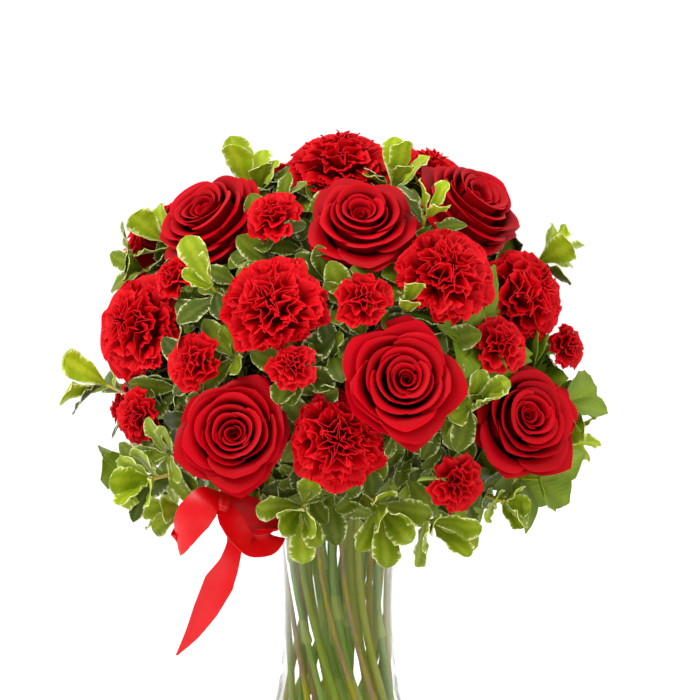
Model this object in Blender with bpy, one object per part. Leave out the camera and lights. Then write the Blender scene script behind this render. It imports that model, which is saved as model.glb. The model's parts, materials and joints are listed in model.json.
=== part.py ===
"""A round arrangement of red roses, carnations and mini carnations with variegated pittosporum and plain
broad leaves, standing in a clear glass gathering vase of water, with a red satin bow at its front left.

The origin is the centre of the vase's underside, +Z is up and -Y is the front. Sizes and places below are
in millimetres, and add_object() turns them into metres.
"""

import math
import random

import bmesh
import bpy
import numpy as np
from mathutils.bvhtree import BVHTree

METRE = 0.001
GAP = 0.3

# Vase: the outer wall from the foot up to the lip, as (radius, height)
VASE_HEIGHT = 200.0
VASE_WALL = 2.4
VASE_FLOOR = 8.0
VASE_SIDES = 24
VASE_OUTSIDE = (
    (41.0, 0.0),
    (48.5, 5.0),
    (51.0, 18.0),
    (49.6, 38.0),
    (44.0, 66.0),
    (39.6, 110.0),
    (39.6, 137.0),
    (43.0, 178.0),
    (48.0, VASE_HEIGHT),
)
WATER_LEVEL = 158.0

# Dome of heads: each is (middle x, y, z), (yaw from the front, pitch above level), widest radius
ROSES = {
    "rose_1": ((-84, -55, 384), (-42, 42), 40),
    "rose_2": ((17, -92, 382), (3, 42), 40),
    "rose_3": ((87, -44, 392), (50, 42), 41),
    "rose_4": ((-67, -118, 250), (-4, 12), 41),
    "rose_5": ((40, -138, 283), (5, 12), 43),
    "rose_6": ((122, -72, 253), (26, 13), 41),
    "rose_7": ((-112, 84, 300), (-128, 14), 43),
    "rose_8": ((38, 132, 270), (165, 8), 44),
    "rose_9": ((34, 84, 384), (158, 46), 43),
}
CARNATIONS = {
    "carnation_1": ((1, -28, 422), (-5, 60), 37),
    "carnation_2": ((-131, -54, 315), (-40, 14), 37),
    "carnation_3": ((-41, -126, 330), (-12, 22), 37),
    "carnation_4": ((69, -110, 352), (20, 26), 35),
    "carnation_5": ((122, -54, 336), (42, 20), 37),
    "carnation_6": ((0, -124, 246), (2, 0), 35),
    "carnation_7": ((60, 16, 411), (30, 54), 36),
    "carnation_8": ((-122, 26, 368), (-108, 34), 37),
    "carnation_9": ((100, 92, 338), (134, 24), 37),
    "carnation_10": ((-52, 130, 250), (-160, 0), 38),
    "carnation_11": ((136, 36, 264), (102, 2), 37),
    "carnation_12": ((-52, 62, 400), (-145, 56), 37),
}
# Mini carnations by the spray that carries them; the first head ends the spray's main stem
SPRAYS = {
    "spray_stem_1": {
        "mini_3": ((-92, -108, 294), (-28, 8), 21),
        "mini_5": ((-131, -66, 256), (-38, -2), 20),
        "mini_9": ((-107, -80, 349), (-40, 28), 18),
    },
    "spray_stem_2": {
        "mini_2": ((16, -134, 336), (4, 14), 20),
        "mini_1": ((-41, -98, 389), (-14, 36), 20),
        "mini_4": ((-29, -144, 295), (4, 14), 17),
    },
    "spray_stem_3": {
        "mini_6": ((105, -92, 305), (24, 20), 21),
        "mini_7": ((153, -38, 302), (46, 12), 17),
        "mini_8": ((77, -108, 216), (16, -4), 20),
    },
    "spray_stem_4": {
        "mini_10": ((-22, 138, 330), (-172, 20), 20),
        "mini_11": ((112, 84, 266), (128, 0), 20),
        "mini_12": ((-143, 6, 256), (-92, -4), 20),
    },
}

# Whorls of leaves by the branch that carries them: (tip x, y, z), (yaw, pitch), leaf count, leaf length
PITTOSPORUM = {
    "pittosporum_1": (
        ((-124, -84, 216), (-46, -18), 6, 44),
        ((-156, -36, 276), (-78, 4), 5, 42),
    ),
    "pittosporum_2": (
        ((-24, -94, 198), (-12, -36), 7, 38),
        ((-108, -70, 196), (-50, -34), 5, 38),
        ((-6, -116, 296), (0, 20), 4, 30),
    ),
    "pittosporum_3": (
        ((28, -96, 198), (14, -40), 7, 40),
        ((62, -92, 188), (30, -42), 6, 42),
        ((44, -126, 334), (30, 20), 5, 32),
    ),
    "pittosporum_4": (
        ((110, -68, 200), (52, -26), 6, 36),
        ((148, -20, 238), (78, -6), 5, 36),
        ((88, -108, 268), (30, 8), 4, 34),
    ),
    "pittosporum_5": (
        ((-58, -16, 404), (-58, 56), 6, 42),
        ((-118, -18, 372), (-80, 26), 5, 40),
        ((-82, -104, 344), (-36, 24), 4, 36),
    ),
    "pittosporum_6": (
        ((36, -46, 410), (24, 56), 5, 38),
        ((140, -2, 360), (84, 30), 5, 40),
        ((58, -84, 390), (30, 40), 4, 30),
    ),
    "pittosporum_7": (
        ((70, 92, 200), (145, -30), 6, 42),
        ((134, 62, 214), (112, -20), 6, 40),
        ((72, 128, 322), (150, 18), 5, 34),
    ),
    "pittosporum_8": (
        ((-12, 104, 200), (180, -32), 6, 42),
        ((-98, 84, 212), (-135, -22), 6, 42),
        ((-72, 112, 344), (-145, 28), 5, 36),
    ),
}
BROAD_LEAVES = {
    "broad_leaves_1": (
        ((150, -36, 262), (62, 0), 3, 58),
        ((134, -58, 214), (54, -10), 3, 54),
        ((80, -84, 310), (30, 20), 2, 46),
    ),
    "broad_leaves_2": (
        ((-140, 30, 220), (-104, -14), 3, 58),
        ((0, 138, 294), (-175, 14), 2, 50),
        ((-70, 60, 352), (-120, 40), 2, 44),
    ),
}

# Depth from the head's middle back to where it sits on its calyx, the calyx and the stem below it
ROSE_SEAT, ROSE_SEAT_RADIUS, ROSE_HIP, ROSE_STEM = 27.0, 7.5, 13.0, 2.9
CARNATION_SEAT, CARNATION_SEAT_RADIUS, CARNATION_CALYX, CARNATION_STEM = 21.0, 6.0, 24.0, 2.4
MINI_SEAT, MINI_SEAT_RADIUS, MINI_CALYX, MINI_STEM = 11.0, 3.6, 13.0, 1.6
TWIG, BRANCH = 1.5, 2.3

# Stems: straight from foot to throat in the vase, and leaning round its axis as a spiral hand-tied bunch does
FOOT_Z, THROAT_Z, LIP_Z = 9.1, 162.0, 207.0
# Rings of stems as (radius at the throat, foot radius over that, lean in degrees, share of even spacing)
OUTER_RING = (31.0, 1.1, 70.0, 0.7)
INNER_RING = (22.0, 1.1, 70.0, 0.7)
BUNCH = (12.5, 1.12, 125.0, 1.0)
LIP_SPREAD = 1.14
STEEP_RISE = 38.0

# Bow: knot, loops and tails as the middle line of a flat ribbon
RIBBON_WIDTH, RIBBON_THICK = 24.0, 0.9
BOW_KNOT = (-71.0, -95.0, 194.0)


def clear_scene():
    for obj in list(bpy.data.objects):
        bpy.data.objects.remove(obj, do_unlink=True)


def material(name, colour, roughness, alpha=1.0):
    made = bpy.data.materials.new(name)
    made.use_nodes = True
    shader = made.node_tree.nodes["Principled BSDF"]
    shader.inputs["Base Color"].default_value = (*colour, 1.0)
    shader.inputs["Roughness"].default_value = roughness
    shader.inputs["Alpha"].default_value = alpha
    made.diffuse_color = (*colour, alpha)
    return made


def add_object(name, shape, finish):
    """One object from (points in millimetres, faces)."""
    points, faces = shape
    mesh = bpy.data.meshes.new(name)
    mesh.from_pydata([tuple(p * METRE for p in point) for point in points], [], faces)
    mesh.materials.append(finish)
    mesh.shade_smooth()
    mesh.set_sharp_from_angle(angle=math.radians(35))
    obj = bpy.data.objects.new(name, mesh)
    bpy.context.scene.collection.objects.link(obj)
    return obj


def unit(vector):
    return vector / np.linalg.norm(vector)


def facing(yaw, pitch):
    """The direction that a head looks: yaw 0 is the front, and 90 the right."""
    yaw, pitch = math.radians(yaw), math.radians(pitch)
    return np.array(
        (math.sin(yaw) * math.cos(pitch), -math.cos(yaw) * math.cos(pitch), math.sin(pitch))
    )


def frame_along(direction, roll=0.0):
    """A 3x3 matrix whose columns are across, up and along the direction."""
    upright = (0, 0, 1) if abs(direction[2]) < 0.97 else (0, 1, 0)
    across = unit(np.cross(upright, direction))
    up = np.cross(direction, across)
    c, s = math.cos(roll), math.sin(roll)
    return np.stack((across * c + up * s, up * c - across * s, direction), axis=1)


def polar(radius, turn):
    """A point on a circle round the vase's axis, turn 0 at the front."""
    turn = math.radians(turn)
    return np.array((radius * math.sin(turn), -radius * math.cos(turn)))


def turn_of(x, y):
    return math.degrees(math.atan2(x, -y))


def ringed_solid(rings, bottom, top):
    """Rings of points of equal count, joined one to the next and closed to a point at both ends."""
    count = len(rings[0])
    points = [tuple(bottom)] + [tuple(p) for ring in rings for p in ring] + [tuple(top)]
    faces = []
    for s in range(count):
        after = (s + 1) % count
        faces.append((0, 1 + after, 1 + s))
        for r in range(len(rings) - 1):
            low, high = 1 + r * count, 1 + (r + 1) * count
            faces.append((low + s, low + after, high + after, high + s))
        last = 1 + (len(rings) - 1) * count
        faces.append((last + s, last + after, len(points) - 1))
    return points, faces


def tube(route, radii, sides):
    """A tube along a route, with flat ends."""
    route = np.asarray(route, float)
    steps = np.diff(route, axis=0)
    steps /= np.linalg.norm(steps, axis=1)[:, None]
    tangents = [steps[0]] + [unit(a + b) for a, b in zip(steps, steps[1:])] + [steps[-1]]
    across = unit(np.cross(tangents[0], (0.31, 0.95, 0.02)))
    points, faces = [], []
    for place, tangent, radius in zip(route, tangents, radii):
        across = unit(across - tangent * (across @ tangent))
        up = np.cross(tangent, across)
        for s in range(sides):
            a = 2 * math.pi * s / sides
            points.append(tuple(place + radius * (math.cos(a) * across + math.sin(a) * up)))
    for r in range(len(route) - 1):
        for s in range(sides):
            after = (s + 1) % sides
            low, high = r * sides, (r + 1) * sides
            faces.append((low + s, low + after, high + after, high + s))
    faces.append(tuple(reversed(range(sides))))
    faces.append(tuple(range(len(points) - sides, len(points))))
    return points, faces


# Flower heads

ROSE_SIDES, PETAL_SPAN = 15, 3
# Petal layers as (rim radius, rim height, groove radius, groove height) over the head's widest radius
ROSE_LAYERS = (
    (1.00, 0.74, 0.77, 0.66),
    (0.85, 0.92, 0.65, 0.80),
    (0.67, 1.06, 0.47, 0.88),
    (0.47, 1.13, 0.28, 0.92),
    (0.24, 1.12, 0.0, 0.88),
)


def rose_head(radius, draw):
    """An open rose: five layers of overlapping petals, each rim standing above the groove inside it."""

    def ring(share, height, layer, overlap, point, drop):
        found = []
        for s in range(ROSE_SIDES):
            k = (s + 2 * layer) % PETAL_SPAN
            edge = k - 1
            angle = 2 * math.pi * s / ROSE_SIDES + 0.2 * layer + 0.09 * edge
            r = radius * share * (1 - overlap * edge) * (1 + point * (edge == 0))
            z = radius * (height - drop * abs(edge))
            r *= draw.uniform(0.98, 1.02)
            found.append((r * math.cos(angle), r * math.sin(angle), z))
        return found

    rings = [ring(ROSE_SEAT_RADIUS / radius, 0.0, 0, 0, 0, 0), ring(0.62, 0.30, 0, 0.04, 0, 0)]
    for layer, (rim, rim_z, groove, groove_z) in enumerate(ROSE_LAYERS):
        rings.append(ring(rim, rim_z, layer, 0.065, 0.10 if layer < 2 else 0.04, 0.07))
        if groove:
            rings.append(ring(groove, groove_z, layer, 0.02, 0, 0))
    points, faces = ringed_solid(rings, (0, 0, 0), (0, 0, radius * ROSE_LAYERS[-1][3]))
    return np.array(points) - (0, 0, ROSE_SEAT), faces


CARNATION_SIDES = 14
# Ruffled layers as (rim radius, rim height, groove radius, groove height) over the widest radius
CARNATION_LAYERS = (
    (1.00, 0.54, 0.78, 0.62),
    (0.90, 0.88, 0.60, 0.86),
    (0.62, 1.12, 0.36, 1.00),
    (0.32, 1.22, 0.0, 1.06),
)
MINI_SIDES = 12
MINI_LAYERS = ((1.00, 0.62, 0.60, 0.66), (0.62, 1.08, 0.0, 0.82))


def ruffled_head(radius, seat_depth, seat_radius, sides, layers, draw):
    """A carnation: ragged rims that zigzag in and out and up and down, layer inside layer."""

    def ring(share, height, rag, wave, turn):
        found = []
        for s in range(sides):
            tooth = 1 if s % 2 else -1
            angle = 2 * math.pi * (s + draw.uniform(-0.15, 0.15)) / sides + turn
            r = radius * share * (1 + rag * tooth + draw.uniform(-0.05, 0.05))
            z = radius * (height + wave * tooth * (1 if s % 4 < 2 else -1))
            found.append((r * math.cos(angle), r * math.sin(angle), z))
        return found

    rings = [ring(seat_radius / radius, 0.0, 0, 0, 0)]
    for n, (rim, rim_z, groove, groove_z) in enumerate(layers):
        rings.append(ring(rim, rim_z, 0.11, 0.07, 0.12 * n))
        if groove:
            rings.append(ring(groove, groove_z, -0.05, 0.02, 0.12 * n))
    points, faces = ringed_solid(rings, (0, 0, 0), (0, 0, radius * layers[-1][3]))
    return np.array(points) - (0, 0, seat_depth), faces


def all_heads():
    """Every head by name, with its shape placed but not yet pressed against its neighbours."""
    heads = {}
    minis = {name: head for spray in SPRAYS.values() for name, head in spray.items()}
    for kind, group in (("rose", ROSES), ("carnation", CARNATIONS), ("mini", minis)):
        for name, (middle, look, radius) in group.items():
            draw = random.Random(name)
            if kind == "rose":
                points, faces = rose_head(radius, draw)
            elif kind == "carnation":
                points, faces = ruffled_head(
                    radius, CARNATION_SEAT, CARNATION_SEAT_RADIUS, CARNATION_SIDES, CARNATION_LAYERS, draw
                )
            else:
                points, faces = ruffled_head(
                    radius, MINI_SEAT, MINI_SEAT_RADIUS, MINI_SIDES, MINI_LAYERS, draw
                )
            along = facing(*look)
            turned = points @ frame_along(along, draw.uniform(0, 2 * math.pi)).T
            heads[name] = {
                "kind": kind,
                "middle": np.array(middle, float),
                "along": along,
                "radius": radius,
                "points": turned + np.array(middle, float),
                "faces": faces,
            }
    return heads


# How deep a pressed bloom gives way, how far apart neighbours still touch (over their radii), and the rounds
PRESS_SOFT, PRESS_REACH, PRESS_ROUNDS = 11.0, 1.25, 3


def press_heads(heads):
    """Neighbouring heads press flat against the plane between them, as full blooms do in a tight dome."""
    for _ in range(PRESS_ROUNDS):
        for head in heads.values():
            for other in heads.values():
                if other is head:
                    continue
                step = other["middle"] - head["middle"]
                apart = np.linalg.norm(step)
                reach = head["radius"] + other["radius"]
                if apart > PRESS_REACH * reach:
                    continue
                plane = apart * head["radius"] / reach
                over = (head["points"] - head["middle"]) @ (step / apart) - plane
                most = over.max()
                if most <= -GAP:
                    continue
                squeeze = np.clip((over + PRESS_SOFT) / (most + PRESS_SOFT), 0, None)
                wanted = -PRESS_SOFT + squeeze * (PRESS_SOFT - GAP)
                move = np.where(over > -PRESS_SOFT, wanted - over, 0)
                head["points"] += move[:, None] * (step / apart)


# Stems

STEM_SIDES = 5
STEM_CLEARANCE, HOLE_CLEARANCE = 1.1, 0.35
# Room from a stem's side to the glass at the foot, at the throat and at the lip
FOOT_ROOM, THROAT_ROOM, LIP_ROOM = 1.5, 1.2, 2.0
# Narrowest heights of the vase's neck, and the band of radii in which a stem has to pass over the lip
NECK_HEIGHTS, LIP_BAND, LIP_LIFT = (110, 137), (42, 54), 2.5
# First points of a route that stay within the vase, and those of a twig that stay on its parent
MAIN_FREE, TWIG_FREE = 3, 1
# Shares of the way at which a route above the lip has its points
MAIN_SHARES, TWIG_SHARES = (0.0, 0.36, 0.7, 1.0), (0.0, 0.45, 1.0)
# A twig leaves its parent at the third point of the route, or at the fourth if it ends this far over the lip
HIGH_TWIG = 45.0
# Settling: rounds, how much of an overlap is cleared in each, the pull back to the first route and the
# stiffness, with the share of a head's radius that other stems keep out of
SETTLE_ROUNDS, CLEAR_SHARE, HEAD_SHARE, HOME_PULL, STIFFNESS = 260, 0.6, 0.7, 0.02, 0.06
HEAD_CORE, HEAD_FORWARD = 0.86, 3.0


def vase_inside(height):
    """The inner radius of the vase at a height."""
    heights = [z for _, z in VASE_OUTSIDE]
    radii = [r - VASE_WALL for r, _ in VASE_OUTSIDE]
    return np.interp(height, heights, radii)


def curve_points(handles, shares):
    """Points of a cubic curve at some shares of its way."""
    found = []
    for t in shares:
        weights = ((1 - t) ** 3, 3 * t * (1 - t) ** 2, 3 * t * t * (1 - t), t**3)
        found.append(sum(w * h for w, h in zip(weights, handles)))
    return found


def stem_route(seat, along, turn, ring):
    """Foot, throat and lip in the vase, then a curve that leans out and ends square under the head."""
    neck, foot_share, lean, _ = ring
    lip = np.array((*polar(neck * LIP_SPREAD, turn), LIP_Z))
    reach = np.linalg.norm(seat - lip)
    out = np.array((*polar(0.45, turn), 1.0))
    handles = (lip, lip + out * reach * 0.36, seat - along * reach * 0.42, seat)
    points = [(*polar(neck * foot_share, turn + lean), FOOT_Z), (*polar(neck, turn), THROAT_Z)]
    return np.array(points + curve_points(handles, MAIN_SHARES))


def side_route(start, seat, along):
    """A twig from a point of its parent stem to the seat of its own head."""
    reach = np.linalg.norm(seat - start)
    handles = (start, start + (0, 0, reach * 0.2), seat - along * reach * 0.4, seat)
    return np.array(curve_points(handles, TWIG_SHARES))


def seat_of(head):
    """Where the stem ends: the foot of the hip or calyx under a head."""
    depth = {
        "rose": ROSE_SEAT + ROSE_HIP,
        "carnation": CARNATION_SEAT + CARNATION_CALYX,
        "mini": MINI_SEAT + MINI_CALYX,
    }
    return head["middle"] - head["along"] * (depth[head["kind"]] + GAP)


def main_ends(heads):
    """The family, name, end and direction of every stem that stands in the vase."""
    ends = []
    for name, head in heads.items():
        if head["kind"] == "rose":
            ends.append(("stem_of_" + name, name, seat_of(head), head["along"], ROSE_STEM))
        elif head["kind"] == "carnation":
            ends.append(("carnation_stems", name, seat_of(head), head["along"], CARNATION_STEM))
    for family, group in SPRAYS.items():
        name = next(iter(group))
        ends.append((family, name, seat_of(heads[name]), heads[name]["along"], BRANCH))
    for family, whorls in {**PITTOSPORUM, **BROAD_LEAVES}.items():
        tip, look = whorls[0][:2]
        ends.append((family, family + "_twig_0", np.array(tip, float), facing(*look), BRANCH))
    return ends


def ring_of(family, end):
    """Carnations stand in the middle, heads high in the dome round them, and low ones outside."""
    if family == "carnation_stems":
        return BUNCH
    rise = math.degrees(math.atan2(end[2] - LIP_Z, math.hypot(end[0], end[1])))
    return INNER_RING if rise > STEEP_RISE else OUTER_RING


def all_stems(heads):
    """Every stem and side twig with its first route. A twig names its parent and the point it leaves."""
    stems = {}
    ends = main_ends(heads)
    for ring in (BUNCH, INNER_RING, OUTER_RING):
        mine = [end for end in ends if ring_of(end[0], end[2]) == ring]
        mine.sort(key=lambda end: turn_of(end[2][0], end[2][1]))
        own = [turn_of(end[2][0], end[2][1]) for end in mine]
        step = 360.0 / len(mine)
        start = sum(turn - n * step for n, turn in enumerate(own)) / len(mine)
        for n, (family, name, end, along, radius) in enumerate(mine):
            turn = own[n] + ring[3] * (start + n * step - own[n])
            stems[name] = new_stem(family, stem_route(end, along, turn, ring), radius)
    for family, group in SPRAYS.items():
        main, *others = group
        for name in others:
            head = heads[name]
            add_twig(stems, name, main, family, seat_of(head), head["along"], MINI_STEM)
    for family, whorls in {**PITTOSPORUM, **BROAD_LEAVES}.items():
        for n, (tip, look, _, _) in enumerate(whorls[1:], 1):
            main = family + "_twig_0"
            add_twig(stems, f"{family}_twig_{n}", main, family, np.array(tip, float), facing(*look), TWIG)
    return stems


def new_stem(family, route, radius, parent=None, joint=None):
    return {"family": family, "route": route, "radius": radius, "parent": parent, "joint": joint}


def add_twig(stems, name, main, family, end, along, radius):
    joint = 3 if end[2] > LIP_Z + HIGH_TWIG else 2
    route = side_route(stems[main]["route"][joint], end, along)
    stems[name] = new_stem(family, route, radius, main, joint)


def nearest_shares(a, b, c, d):
    """For pairs of segments a-b and c-d, how far along each one the nearest points lie."""
    u, v, w = b - a, d - c, a - c
    uu, vv, uv = (u * u).sum(1), (v * v).sum(1), (u * v).sum(1)
    uw, vw = (u * w).sum(1), (v * w).sum(1)
    flat = np.maximum(uu * vv - uv * uv, 1e-9)
    s = np.clip((uv * vw - vv * uw) / flat, 0, 1)
    t = np.clip((uv * s + vw) / vv, 0, 1)
    s = np.clip((uv * t - uw) / uu, 0, 1)
    return s, t


def settle_stems(stems, heads):
    """Stems that would cross are moved apart, kept inside the glass, over its lip and out of other heads."""
    names = list(stems)
    starts = np.cumsum([0] + [len(stems[name]["route"]) for name in names])
    place = np.concatenate([stems[name]["route"] for name in names])
    low, radius, family, owner = [], [], [], []
    fixed = np.zeros((len(place), 3))
    home = place.copy()
    families = {}
    for n, name in enumerate(names):
        stem = stems[name]
        number = families.setdefault(stem["family"], len(families))
        count = len(stem["route"])
        low += list(range(starts[n], starts[n + 1] - 1))
        radius += [stem["radius"]] * (count - 1)
        family += [number] * (count - 1)
        owner += [n] * (count - 1)
        if name in heads:
            fixed[starts[n + 1] - 1] = 1
        if not stem["parent"]:
            fixed[starts[n] : starts[n] + 3, 2] = 1
    radius, family, owner = np.array(radius), np.array(family), np.array(owner)
    low = np.array(low)
    one, two = np.triu_indices(len(low), 1)
    apart = family[one] != family[two]
    one, two = one[apart], two[apart]
    need = radius[one] + radius[two] + STEM_CLEARANCE
    keys = list(heads)
    middles = np.array([heads[key]["middle"] + heads[key]["along"] * HEAD_FORWARD for key in keys])
    sizes = np.array([heads[key]["radius"] * HEAD_CORE for key in keys])
    own_head = np.array([keys.index(name) if name in heads else -1 for name in names])[owner]
    seg, ball = np.meshgrid(np.arange(len(low)), np.arange(len(keys)), indexing="ij")
    others = own_head[seg] != ball
    seg, ball = seg[others], ball[others]
    for _ in range(SETTLE_ROUNDS):
        move, count = np.zeros_like(place), np.full(len(place), 1e-9)

        def push(index, share, step):
            for point, part in ((low[index], 1 - share), (low[index] + 1, share)):
                np.add.at(move, point, step * part[:, None])
                np.add.at(count, point, part)

        s, t = nearest_shares(place[low[one]], place[low[one] + 1], place[low[two]], place[low[two] + 1])
        near = place[low[one]] + s[:, None] * (place[low[one] + 1] - place[low[one]])
        far = place[low[two]] + t[:, None] * (place[low[two] + 1] - place[low[two]])
        gap = near - far
        size = np.linalg.norm(gap, axis=1) + 1e-6
        hit = size < need
        step = gap[hit] / size[hit, None] * (need - size)[hit, None] * CLEAR_SHARE
        push(one[hit], s[hit], step)
        push(two[hit], t[hit], -step)

        a, b = place[low[seg]], place[low[seg] + 1]
        share = np.clip(((middles[ball] - a) * (b - a)).sum(1) / ((b - a) ** 2).sum(1), 0, 1)
        gap = a + share[:, None] * (b - a) - middles[ball]
        size = np.linalg.norm(gap, axis=1) + 1e-6
        lack = sizes[ball] + radius[seg] + 1 - size
        hit = lack > 0
        push(seg[hit], share[hit], gap[hit] / size[hit, None] * lack[hit, None] * HEAD_SHARE)

        for share in (0.0, 0.25, 0.5, 0.75, 1.0):
            point = place[low] + share * (place[low + 1] - place[low])
            out = np.hypot(point[:, 0], point[:, 1])
            lack = VASE_HEIGHT + LIP_LIFT + radius - point[:, 2]
            hit = (out > LIP_BAND[0]) & (out < LIP_BAND[1]) & (lack > 0)
            step = np.zeros((hit.sum(), 3))
            step[:, 2] = lack[hit]
            push(np.nonzero(hit)[0], np.full(hit.sum(), share), step)

        step = move / np.maximum(count, 0.4)[:, None]
        step += HOME_PULL * (home - place)
        place += step * (1 - fixed)
        for n, name in enumerate(names):
            stem = stems[name]
            mine = place[starts[n] : starts[n + 1]]
            free = TWIG_FREE if stem["parent"] else MAIN_FREE
            bend = (mine[free - 1 : -2] + mine[free + 1 :]) / 2 - mine[free:-1]
            mine[free:-1] += STIFFNESS * bend
            if stem["parent"]:
                parent = starts[names.index(stem["parent"])]
                mine[0] = place[parent + stem["joint"]]
            else:
                keep_in_vase(mine, stem["radius"])
    for n, name in enumerate(names):
        stems[name]["route"] = place[starts[n] : starts[n + 1]].copy()


def keep_in_vase(route, radius):
    """The foot, throat and lip points stay clear of the glass, and the straight run between them too."""
    foot_room = VASE_OUTSIDE[0][0] - radius - FOOT_ROOM
    throat_room = min(vase_inside(z) for z in NECK_HEIGHTS) - radius - THROAT_ROOM
    lip_room = vase_inside(VASE_HEIGHT) - radius - LIP_ROOM
    for point, room in zip(route[:3], (foot_room, throat_room, lip_room)):
        out = math.hypot(point[0], point[1])
        if out > room:
            point[:2] *= room / out


# A calyx widens at this share of its length, to these shares of the seat's radius at its shoulder and top
CALYX_SHOULDER, CALYX_WIDTHS = 0.35, (0.9, 0.95)
TWIG_END = 0.6
SEPAL_LENGTH, SEPAL_FOLD = 13.0, 4.0


def stem_shape(stem, head):
    """The tube of one stem, with the calyx or hip of the head that it carries."""
    route, radius = stem["route"], stem["radius"]
    radii = [radius] * len(route)
    if head is None:
        radii[-1] = radius * TWIG_END
        return outward(tube(route, radii, STEM_SIDES))
    along = head["along"]
    length, seat_radius = {
        "rose": (ROSE_HIP, ROSE_SEAT_RADIUS),
        "carnation": (CARNATION_CALYX, CARNATION_SEAT_RADIUS),
        "mini": (MINI_CALYX, MINI_SEAT_RADIUS),
    }[head["kind"]]
    shoulder = route[-1] + along * length * CALYX_SHOULDER
    route = np.vstack((route, shoulder, route[-1] + along * length))
    radii += [seat_radius * share for share in CALYX_WIDTHS]
    shape = tube(route, radii, STEM_SIDES)
    return outward(with_sepals(shape, route[-1], along) if head["kind"] == "rose" else shape)


def with_sepals(shape, top, along):
    """The same tube with a sepal raised from each side of its last stretch, folded back from the petals."""
    points, faces = shape
    points = list(points)
    sides, caps = faces[:-2], faces[-2:]
    for face in sides[-STEM_SIDES:]:
        middle = sum(np.array(points[n]) for n in face) / 4
        out = middle - top
        out = unit(out - along * (out @ along))
        points.append(tuple(middle + out * SEPAL_LENGTH - along * SEPAL_FOLD))
        tip = len(points) - 1
        sides += [(face[n], face[(n + 1) % 4], tip) for n in range(4)]
        sides.remove(face)
    return points, sides + caps


# Leaves

# Stations between a blade's root and its tip, as (share of the length, share of the half width)
PITTOSPORUM_BLADE = ((0.38, 0.70), (0.80, 1.0))
BROAD_BLADE = ((0.22, 0.74), (0.5, 1.0), (0.8, 0.64))
# Half width over length, and how far the edges rise and fall between stations
PITTOSPORUM_HALF, PITTOSPORUM_WAVE = 0.24, (0.7, 1.3)
BROAD_HALF, BROAD_WAVE = 0.27, (0.4, 0.4)
BLADE_THICK, ROOT_SUNK, CURL_SHORTENS = 1.0, 1.2, 0.12
# What a new leaf keeps clear of its neighbours, and how far from its twig that begins
LEAF_CLEAR, LEAF_FREE = 0.8, 5.0
# Roots sit on the twig's last stretch, and leaves stand alternately near it and wide of it, in degrees
ROOT_FIRST, ROOT_STEP, ROOT_LEVELS = 1.0, 2.6, 3
LEAF_SPREADS, LEAF_SIZES, LEAF_CURLS = (66, 40), (0.84, 1.06), (0.02, 0.22)
# Lies that are tried for a leaf, each turned and spread by these degrees and shorter by this share
LEAF_TRIES, TURN_TRY, SPREAD_TRY, SHRINK_TRY = 20, 15, 16, 0.03


def leaf_shape(root, out, normal, length, half, blade, curl, wave, thick=BLADE_THICK):
    """One blade: a ribbed body whose edges and rib rise and fall from one station to the next."""
    across = np.cross(out, normal)
    points = [root - out * ROOT_SUNK]
    for n, (t, share) in enumerate(blade):
        run = length * t * (1 - CURL_SHORTENS * curl * t)
        middle = root + out * run - normal * (curl * length * t * t)
        middle = middle + normal * wave * (1 if n % 2 else -1)
        points.append(middle - across * half * share)
        points.append(middle + normal * thick)
        points.append(middle + across * half * share)
    points.append(root + out * (length * (1 - CURL_SHORTENS * curl)) - normal * curl * length)
    faces = []
    last = len(points) - 1
    for s in range(3):
        after = (s + 1) % 3
        faces.append((0, 1 + after, 1 + s))
        for low in range(1, last - 3, 3):
            faces.append((low + s, low + after, low + 3 + after))
            faces.append((low + s, low + 3 + after, low + 3 + s))
        faces.append((last - 3 + s, last - 3 + after, last))
    return outward((np.array(points), faces))


def outward(shape):
    """The same closed shape with its faces pointing out."""
    points, faces = np.asarray(shape[0], float), shape[1]
    total = 0.0
    for face in faces:
        for b, c in zip(face[1:], face[2:]):
            total += np.dot(points[face[0]], np.cross(points[b], points[c]))
    return points, (faces if total > 0 else [tuple(reversed(face)) for face in faces])


def tree_of(shapes):
    """One search tree for the faces of several shapes."""
    points, faces = [], []
    for some_points, some_faces in shapes:
        start = len(points)
        points += [tuple(p) for p in some_points]
        faces += [tuple(start + n for n in face) for face in some_faces]
    return BVHTree.FromPolygons(points, faces)


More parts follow.
